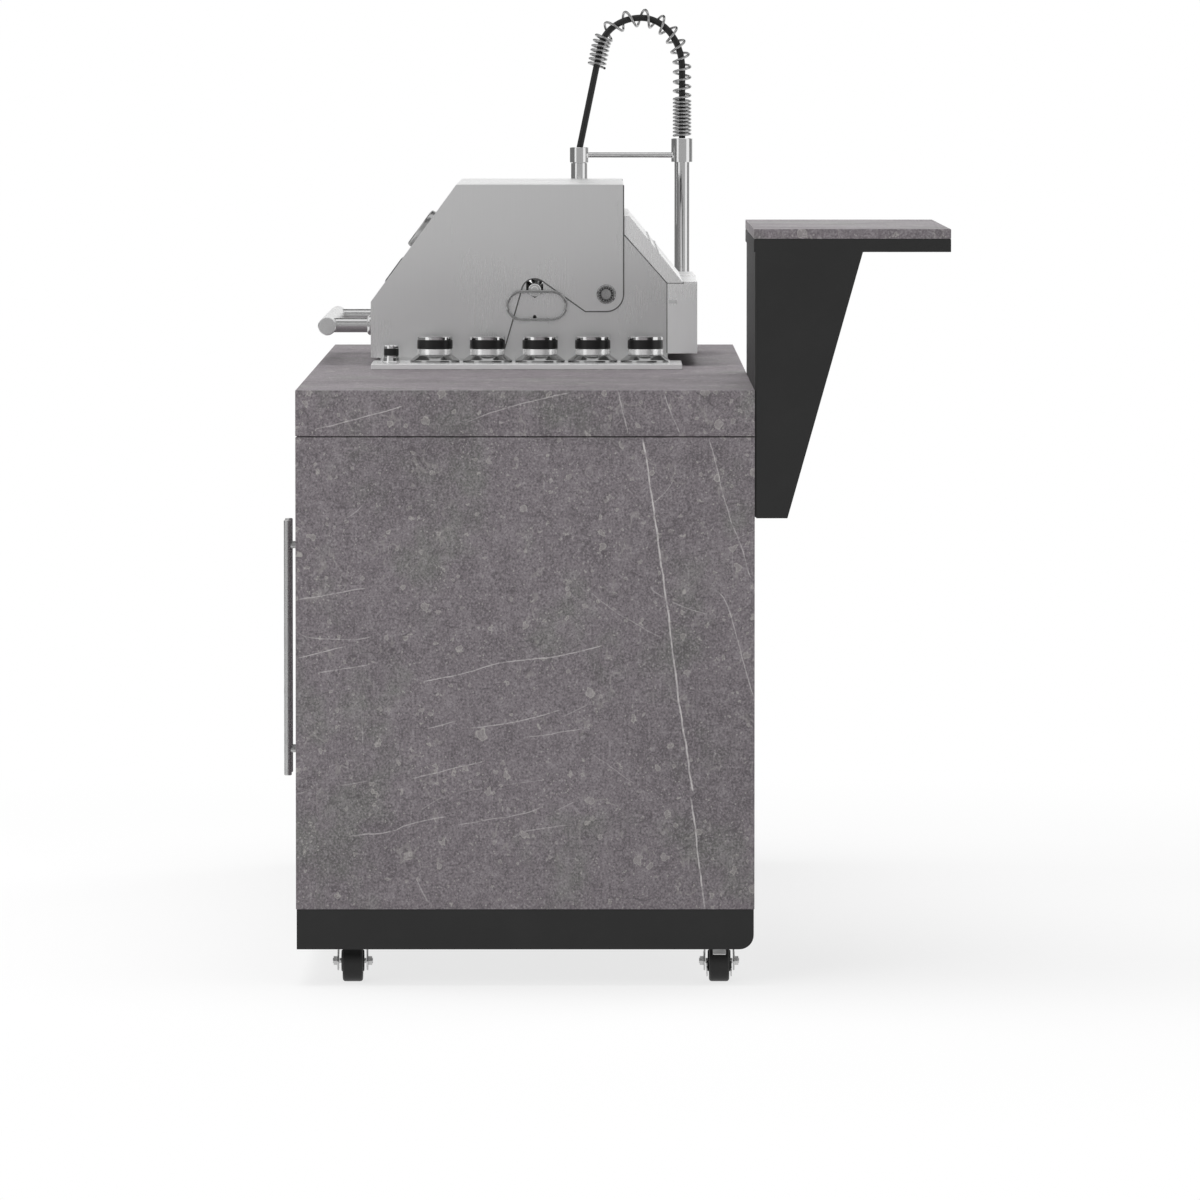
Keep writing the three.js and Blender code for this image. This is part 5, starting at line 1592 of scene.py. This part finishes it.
    def gauge_marks(self) -> Shape:
        """Makes the gauge's plain ticks and its needle, about +Z.

        Returns:
            The marks.
        """
        dial, rim, half = self.dial_height, self.gauge_radius - self.tick_rim, self.tick_width / 2
        first, last = self.gauge_sweep
        marks = []
        for step in range(self.tick_count):
            inner = self.gauge_radius - self.tick_ends[min(step % 5, 1)]
            tick = block((inner, -half, dial), (rim, half, dial + 0.0002))
            marks.append(spun(tick, first + (last - first) * step / (self.tick_count - 1)))
        needle = plate([(x, y, dial + 0.0006) for x, y in self.needle], (0, 0, 0.0005))
        marks.append(spun(needle, first))
        marks.append(rod(0.0022, 0.0012, (0, 0, dial), UP, 0.0003, THIN_SIDES))
        return merged(*marks)

    def add_badge(self) -> None:
        """Makes the bare plate below the gauge."""
        backing = plate(self.badge_corners(0.0), self.outward * (self.badge_sheet - self.badge_step))
        self.bench.piece("bare_plate_border", soften(backing, 0.0004), self.finishes.black_band, "hood")
        face = plate(self.badge_corners(self.badge_border), self.outward * self.badge_sheet)
        self.bench.piece("bare_plate", soften(face, 0.0006, 3), self.finishes.dull_chrome, "hood")

    def badge_corners(self, inset: float) -> list[Vector]:
        """Gives the corners of the bare plate on the slanted face.

        Args:
            inset: how far they lie inside its outline.

        Returns:
            The corners.
        """
        base = self.gauge_base() - self.slope * self.badge_drop + self.outward * 0.0001
        half_x, half_s = self.badge_length / 2 - inset, self.badge_height / 2 - inset
        return [base + Vector((dx * half_x, 0, 0)) + self.slope * ds * half_s
                for dx, ds in ((-1, -1), (1, -1), (1, 1), (-1, 1))]

    def add_hinge_caps(self) -> None:
        """Makes the hinge rod with a ribbed ring and a flat cap at each end."""
        hinge = middle_of("hood_hinge_rod")
        low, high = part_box("hood")
        rings = [rod(self.pin_radius, high.x - low.x, (low.x, hinge.y, hinge.z), TO_BAR, 0.0002)]
        ribs, caps = [], []
        for x, way in ((high.x, 1), (low.x, -1)):
            seat, out = (x, hinge.y, hinge.z), (way, 0, 0)
            rings.append(stand(turned(self.hinge_ring, closed=True), seat, out))
            caps.append(stand(turned(self.hinge_cap), seat, out))
            ribs += [stand(soften(spun(block(*self.rib), 360 * step / self.rib_count), 0.0003, 1), seat, out)
                     for step in range(self.rib_count)]
        self.bench.piece("hinge_rings", merged(*rings), self.finishes.dark_chrome, replaces="hood_hinge_rod")
        self.bench.piece("hinge_ribs", merged(*ribs), self.finishes.chrome)
        self.bench.piece("hinge_caps", merged(*caps), self.finishes.dull_chrome)


@dataclass
class Controls(Assembly):
    """The side deck with five gas knobs in flared bezels and an igniter button."""

    deck_edge: float = 0.0009
    knob_count: int = 5
    knob_radius: float = 0.0288
    knob_height: float = 0.042
    bezel_radius: float = 0.0405
    bezel_height: float = 0.012
    seat_depth: float = 0.0004
    band_low: float = 0.0222
    band_high: float = 0.0362
    band_edge: float = 0.0006
    cap_sheet: float = 0.0003
    pointer_width: float = 0.0028
    pointer_start: float = 0.006
    pointer_rim: float = 0.0085
    igniter_ring: Profile = (
        (0, -0.0004), (0.0148, -0.0004), (0.0148, 0.0006), (0.0142, 0.0016), (0.0133, 0.0022),
        (0.0131, 0.0072), (0.0128, 0.0079), (0.0126, 0.008), (0.0125, 0.0004), (0, 0.0004))
    igniter_barrel: Profile = (
        (0, 0.0046), (0.0116, 0.0046), (0.0122, 0.0051), (0.0122, 0.0108), (0.0116, 0.0113), (0, 0.0113))
    igniter_band: Profile = (
        (0, 0.0113), (0.0119, 0.0113), (0.0122, 0.0117), (0.0122, 0.0216), (0.0119, 0.022), (0, 0.022))
    igniter_crown: Profile = (
        (0, 0.022), (0.0116, 0.022), (0.0122, 0.0226), (0.0122, 0.0262), (0.0112, 0.0276), (0.0094, 0.028),
        (0.0086, 0.0273), (0, 0.0271))

    def build(self) -> None:
        """Makes the controls."""
        low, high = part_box("control_deck")
        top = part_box("knob_1")[1].z - self.knob_height
        deck = soften(block(low, (high.x, high.y, top)), self.deck_edge, 3)
        self.bench.piece("deck_plate", deck, self.finishes.deck_steel, slot=Slot.STEEL,
                         replaces="control_deck")
        for number in range(1, self.knob_count + 1):
            self.add_knob(number, top)
        self.add_igniter(top)

    def add_knob(self, number: int, top: float) -> None:
        """Makes a knob in three bands and its bezel.

        Args:
            number: the knob's number.
            top: the height of the deck.
        """
        node = f"knob_{number}"
        middle = middle_of(node)
        seat = (middle.x, middle.y, top)
        finishes, radius, height = self.finishes, self.knob_radius, self.knob_height
        self.bench.piece(f"bezel_{number}", stand(self.bezel(), seat), finishes.wire)
        low, high, edge, foot = self.band_low, self.band_high, self.band_edge, self.bezel_height
        skirt = turned([(0, foot + FIT), (radius - 0.0008, foot + FIT), (radius - 0.0002, foot + 0.001),
                        (radius - 0.0002, low - 0.0004), (radius - 0.0012, low), (0, low)])
        band = turned([(0, low), (radius - edge, low), (radius, low + edge), (radius, high - edge),
                       (radius - edge, high), (0, high)])
        crown = turned([(0, high), (radius - 0.0008, high), (radius - 0.0001, high + 0.0007),
                        (radius, height - 0.0008), (radius - 0.0003, height - 0.0003),
                        (radius - 0.0008, height - 0.0002), (0, height - 0.0002)])
        cap = rod(radius - 0.0012, self.cap_sheet, (0, 0, height - self.cap_sheet), UP, 0.0001)
        half, tip = self.pointer_width / 2, radius - self.pointer_rim
        pointer = soften(block((-half, self.pointer_start, height - 0.0002), (half, tip, height)), 0.00005, 1)
        for name, shape, finish, replaces in (("skirt", skirt, finishes.deck_steel, node),
                                              ("band", band, finishes.black_band, ""),
                                              ("crown", crown, finishes.chrome, ""),
                                              ("cap", cap, finishes.cap_steel, ""),
                                              ("pointer", pointer, finishes.black_band, "")):
            self.bench.piece(f"knob_{name}_{number}", stand(shape, seat), finish, node, replaces=replaces)

    def bezel(self) -> Shape:
        """Makes a knob's flared bezel about +Z.

        Returns:
            The bezel.
        """
        radius, outer, height, sunk = self.knob_radius, self.bezel_radius, self.bezel_height, -self.seat_depth
        return turned([(0, sunk), (outer - 0.0004, sunk), (outer, 0.0004), (outer, 0.0028),
                       (outer - 0.0004, 0.0036), (outer - 0.0014, 0.0044), (radius + 0.0014, 0.0112),
                       (radius + 0.0006, 0.0118), (radius - 0.001, height), (0, height)])

    def add_igniter(self, top: float) -> None:
        """Makes the igniter button and the ring that it stands in.

        Args:
            top: the height of the deck.
        """
        middle = middle_of("igniter_button")
        finishes = self.finishes
        for name, profile, finish, body, node in (
                ("ring", self.igniter_ring, finishes.chrome, "island", ""),
                ("barrel", self.igniter_barrel, finishes.chrome, "igniter", "igniter_button"),
                ("band", self.igniter_band, finishes.black_band, "igniter", ""),
                ("crown", self.igniter_crown, finishes.chrome, "igniter", "")):
            shape = stand(turned(profile), (middle.x, middle.y, top))
            self.bench.piece(f"igniter_{name}", shape, finish, body, replaces=node)


@dataclass
class Sink(Assembly):
    """The undermounted steel bowl and its strainer."""

    bowl_edge: float = 0.0008
    cup_depth: float = 0.055
    cup_sheet: float = 0.003
    basket_radius: float = 0.042
    rim_radius: float = 0.055
    pipe_radius: float = 0.020
    hole_radius: float = 0.0024
    hole_rings: tuple[tuple[float, int], ...] = ((0.013, 8), (0.024, 14), (0.033, 20))

    def build(self) -> None:
        """Makes the sink."""
        bench, finishes = self.bench, self.finishes
        bench.softened("sink_bowl", "steel_bowl", finishes.cross_steel, Slot.STEEL, self.bowl_edge)
        low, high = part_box("sink_strainer")
        middle = middle_of("sink_strainer")
        basket, rim, depth = self.basket_radius, self.rim_radius, self.cup_depth
        cup = turned([(0, -depth), (basket - self.cup_sheet, -depth), (basket - self.cup_sheet, -0.004),
                      (basket - 0.001, -0.0012), (rim - 0.004, 0), (rim - 0.001, -0.0012), (rim, -0.0027),
                      (basket, -0.0027), (basket, -depth), (self.pipe_radius, -depth),
                      (self.pipe_radius, low.z - high.z), (0, low.z - high.z)])
        bench.piece("strainer_cup", stand(cup, (middle.x, middle.y, high.z)), finishes.chrome,
                    replaces="sink_strainer")
        # The holes are not cut: black discs on the cup's floor stand for them, as painted shade of the drain
        # seen through them.
        hole_shades = [rod(self.hole_radius, 0.0006, (x, y, high.z - depth), UP, 0.0001, 12)
                 for ring, count in self.hole_rings for x, y in around((middle.x, middle.y), ring, count)]
        bench.piece("strainer_hole_shade", merged(*hole_shades), finishes.black_band)


@dataclass
class Faucet(Assembly):
    """The spring faucet: base, lever, column with its arm, hose, spring and spray head."""

    base_radius: float = 0.024
    base_height: float = 0.128
    shank_radius: float = 0.015
    boss_radius: float = 0.012
    boss_height: float = 0.062
    hub: Profile = ((0, 0), (0.0142, 0), (0.015, 0.0008), (0.015, 0.021), (0.0136, 0.0234), (0.011, 0.024),
                    (0, 0.024))
    hub_length: float = 0.024
    spindle_radius: float = 0.005
    grip_radius: float = 0.004
    column_radius: float = 0.0133
    pin_radius: float = 0.009
    sleeve_radius: float = 0.01885
    sleeve_height: float = 0.041
    sleeve_from_base: float = 0.195
    sleeve_edge: float = 0.0006
    arm_radius: float = 0.0048
    arm_from_sleeve: float = 0.012
    arm_overlap: float = 0.002
    holder_bore: float = 0.0113
    holder_radius: float = 0.0165
    holder_height: float = 0.0265
    holder_drop: float = 0.013
    neck_radius: float = 0.011
    spray_radius: float = 0.0145
    flare_radius: float = 0.017
    nozzle_radius: float = 0.0007
    nozzle_length: float = 0.0012
    nozzle_rings: tuple[tuple[float, int], ...] = ((0.004, 6), (0.0085, 12), (0.012, 16))
    hose_diameter: float = 0.0113
    spring_wire: float = 0.0045
    spring_diameter: float = 0.033
    steps_per_turn: int = 24
    route_steps: int = 40
    lower_turns: int = 10
    open_turns: int = 11
    upper_turns: int = 7
    lower_coil: float = 0.063
    upper_coil: float = 0.054
    upper_drop: float = 0.040
    pitch_growth: float = 1.6
    arch_from_sleeve: float = 0.121
    arch_rise: float = 0.088
    arch_span: float = 0.1425
    fall_rise: float = 0.060
    seat_depth: float = 0.004

    def __post_init__(self) -> None:
        """Finds the column, the holder and the heights in the frame."""
        low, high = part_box("faucet_base")
        self.x = low.x + self.base_radius
        self.y = middle_of("faucet_base").y
        self.base_top = high.z
        self.deck = self.base_top - self.base_height
        self.holder_y = middle_of("spray_head").y
        self.sleeve_bottom = self.base_top + self.sleeve_from_base
        self.sleeve_top = self.sleeve_bottom + self.sleeve_height
        self.arm_z = self.sleeve_bottom + self.arm_from_sleeve
        self.holder_bottom = self.arm_z - self.holder_drop
        self.holder_top = self.holder_bottom + self.holder_height

    def build(self) -> None:
        """Makes the faucet."""
        self.add_base()
        self.add_lever()
        self.add_column()
        self.add_spray()
        self.add_hose_and_spring()

    def add_base(self) -> None:
        """Makes the base with its side boss."""
        low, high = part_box("faucet_base")
        radius, shank, deck, top = self.base_radius, self.shank_radius, self.deck, self.base_top
        body = turned([(0, low.z), (shank, low.z), (shank, deck + FIT), (radius - 0.0008, deck + FIT),
                       (radius, deck + 0.001), (radius, top - 0.0014), (radius - 0.0014, top), (0, top)])
        collar = turned([(radius - 0.0002, 0.0004), (radius + 0.0030, 0.0004), (radius + 0.0030, 0.0022),
                         (radius - 0.0002, 0.0048)], closed=True)
        boss = (self.x, self.y, deck + self.boss_height)
        shape = merged(stand(body, (self.x, self.y, 0)), stand(collar, (self.x, self.y, deck)),
                       rod(self.boss_radius, high.x - self.x, boss, TO_BAR, 0.0008))
        self.bench.piece("tap_base", shape, self.finishes.chrome, replaces="faucet_base")

    def add_lever(self) -> None:
        """Makes the side lever and its hub."""
        low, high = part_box("faucet_lever")
        hub_x = high.x - self.hub_length
        z = middle_of("faucet_lever").z
        hub = stand(turned(self.hub), (hub_x, self.y, z), TO_BAR)
        spindle = rod(self.spindle_radius, hub_x - low.x, (low.x, self.y, z), TO_BAR, 0.0003, THIN_SIDES)
        reach, radius = self.y - low.y, self.grip_radius
        grip = turned([(0, 0), (radius - 0.0004, 0), (radius - 0.0004, reach * 0.3), (radius, reach * 0.8),
                       (radius, reach - 0.002), (radius - 0.0012, reach), (0, reach)], THIN_SIDES)
        grip = stand(grip, (hub_x + self.hub_length / 2, self.y, z), TO_COOK)
        self.bench.piece("tap_lever", merged(hub, spindle, grip), self.finishes.chrome, "lever",
                         replaces="faucet_lever")

    def add_column(self) -> None:
        """Makes the column, its sleeve, the arm and the open holder."""
        foot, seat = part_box("faucet_column")[0].z, self.base_top + FIT
        radius, sleeve, pin, edge = self.column_radius, self.sleeve_radius, self.pin_radius, self.sleeve_edge
        bottom, top = self.sleeve_bottom, self.sleeve_top
        post = turned([(0, foot), (pin, foot), (pin, seat), (radius - 0.0005, seat),
                       (radius, self.base_top + 0.0008), (radius, bottom), (sleeve - edge, bottom),
                       (sleeve, bottom + edge), (sleeve, top - edge), (sleeve - edge, top), (0, top)])
        reach = self.y - self.holder_y - self.holder_radius + self.arm_overlap
        arm = rod(self.arm_radius, reach, (self.x, self.y, self.arm_z), TO_COOK, 0.0002)
        inner, outer, tall = self.holder_bore, self.holder_radius, self.holder_height
        holder = turned([(inner, 0.0004), (inner + 0.0004, 0), (outer - edge, 0), (outer, edge),
                         (outer, tall - edge), (outer - edge, tall), (inner + 0.0004, tall),
                         (inner, tall - 0.0004)], closed=True)
        shape = merged(stand(post, (self.x, self.y, 0)), arm,
                       stand(holder, (self.x, self.holder_y, self.holder_bottom)))
        self.bench.piece("tap_column", shape, self.finishes.chrome, "faucet", replaces="faucet_column")

    def add_spray(self) -> None:
        """Makes the spray head with its flared mouth and nozzle plate."""
        low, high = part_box("spray_head")
        bottom, top = low.z, self.holder_bottom - FIT
        length, flare, spray, neck = top - bottom, self.flare_radius, self.spray_radius, self.neck_radius
        head = turned([(0, bottom + 0.002), (flare - 0.003, bottom + 0.002), (flare - 0.0022, bottom),
                       (flare - 0.0006, bottom), (flare, bottom + 0.0008), (flare, bottom + length * 0.2),
                       (spray, bottom + length * 0.4), (spray, top - 0.0006), (spray - 0.0006, top),
                       (neck, top), (neck, high.z - 0.0006), (neck - 0.0006, high.z), (0, high.z)])
        self.bench.piece("spray", stand(head, (self.x, self.holder_y, 0)), self.finishes.chrome, "faucet",
                         replaces="spray_head")
        nozzles = [rod(self.nozzle_radius, self.nozzle_length, (x, y, bottom + 0.0021), DOWN, 0.0002, 8)
                   for ring, count in self.nozzle_rings
                   for x, y in around((self.x, self.holder_y), ring, count)]
        self.bench.piece("spray_nozzles", merged(*nozzles), self.finishes.hose, "faucet", Slot.HOSE)

    def route(self) -> list[Vector]:
        """Gives points on the hose's middle line: up, over an arch that is tighter at its far side, down.

        Returns:
            The points, the same number on each of the four stretches.
        """
        steps = self.route_steps
        foot, start = self.sleeve_top + FIT, self.sleeve_top + self.arch_from_sleeve
        half = self.arch_span / 2
        centre_y = self.y - half
        fall_z = start + self.arch_rise - self.fall_rise
        seat_z = self.holder_top - self.seat_depth
        across, down = (self.holder_y - centre_y) / half, (seat_z - fall_z) / self.fall_rise
        leave = math.degrees(math.atan2(down, across) - math.acos(1 / math.hypot(across, down))) + 360
        rise = arc((0, 0), 1, 0, 90, steps)
        fall = arc((0, 0), 1, 90, leave, steps)
        last_y, last_z = centre_y + half * fall[-1][0], fall_z + self.fall_rise * fall[-1][1]
        points = [(self.y, foot + (start - foot) * step / steps) for step in range(steps)]
        points += [(centre_y + half * y, start + self.arch_rise * z) for y, z in rise[:-1]]
        points += [(centre_y + half * y, fall_z + self.fall_rise * z) for y, z in fall[:-1]]
        end, seat = Vector((last_y, last_z)), Vector((self.holder_y, seat_z))
        points += [end.lerp(seat, step / steps) for step in range(steps + 1)]
        return [Vector((self.x, y, z)) for y, z in points]

    def add_hose_and_spring(self) -> None:
        """Makes the black hose and the steel spring that is wound round it."""
        line = self.route()
        hose = tube(line, self.hose_diameter, rings=7)
        self.bench.piece("tap_hose", hose, self.finishes.hose, "faucet", Slot.HOSE, "faucet_hose")
        lengths = [0.0]
        for before, after in pairwise(line):
            lengths.append(lengths[-1] + (after - before).length)
        coil_end = lengths[3 * self.route_steps] + self.upper_drop - 2 * self.spring_wire
        turns = self.lower_turns + self.open_turns + self.upper_turns
        radius = (self.spring_diameter - self.spring_wire) / 2
        wire = []
        for step in range(turns * self.steps_per_turn + 1):
            turn = step / self.steps_per_turn
            run = self.spring_wire + self.coil_run(turn, coil_end)
            spot, heading = self.along(line, lengths, run)
            side = Vector(TO_BAR).cross(heading)
            angle = 2 * math.pi * turn
            wire.append(spot + side * radius * math.cos(angle) + Vector(TO_BAR) * radius * math.sin(angle))
        self.bench.piece("tap_spring", tube(wire, self.spring_wire, rings=4), self.finishes.wire, "faucet",
                         replaces="faucet_spring")

    def coil_run(self, turn: float, coil_end: float) -> float:
        """Gives how far along the hose the wire has come: close turns, opening turns, close turns.

        Args:
            turn: how many turns have been wound.
            coil_end: where the last turn ends.

        Returns:
            The length along the hose.
        """
        if turn <= self.lower_turns:
            return self.lower_coil * turn / self.lower_turns
        left = self.lower_turns + self.open_turns + self.upper_turns - turn
        if left <= self.upper_turns:
            return coil_end - self.upper_coil * left / self.upper_turns
        share = (turn - self.lower_turns) / self.open_turns
        open_length = coil_end - self.lower_coil - self.upper_coil
        return self.lower_coil + open_length * ((1 + self.pitch_growth) ** share - 1) / self.pitch_growth

    def along(self, line: list[Vector], lengths: list[float], run: float) -> tuple[Vector, Vector]:
        """Finds a place on a line by its length from the start.

        Args:
            line: the line's points.
            lengths: the length up to each point.
            run: the length that is looked for.

        Returns:
            The place and the line's direction there.
        """
        index = min(max(1, bisect_left(lengths, run)), len(lengths) - 1)
        share = (run - lengths[index - 1]) / (lengths[index] - lengths[index - 1])
        before = line[max(index - 2, 0)]
        after = line[min(index + 1, len(line) - 1)]
        return line[index - 1].lerp(line[index], share), (after - before).normalized()


def main() -> None:
    """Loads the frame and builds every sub-assembly."""
    logging.basicConfig(level=logging.INFO, format="%(name)s: %(message)s")
    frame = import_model()
    centre_y = middle_of("right_end_panel").y
    near_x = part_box("worktop")[1].x
    bench = Bench(frame)
    finishes = Finishes(near_x - 0.004, centre_y)
    Studio(centre_y, near_x).build()
    for assembly in (Cabinet, Casters, BarShelf, Grill, Hood, Controls, Sink, Faucet):
        assembly(bench, finishes).build()
    log.info("%d new pieces", bench.count)


if __name__ == "__main__":
    main()
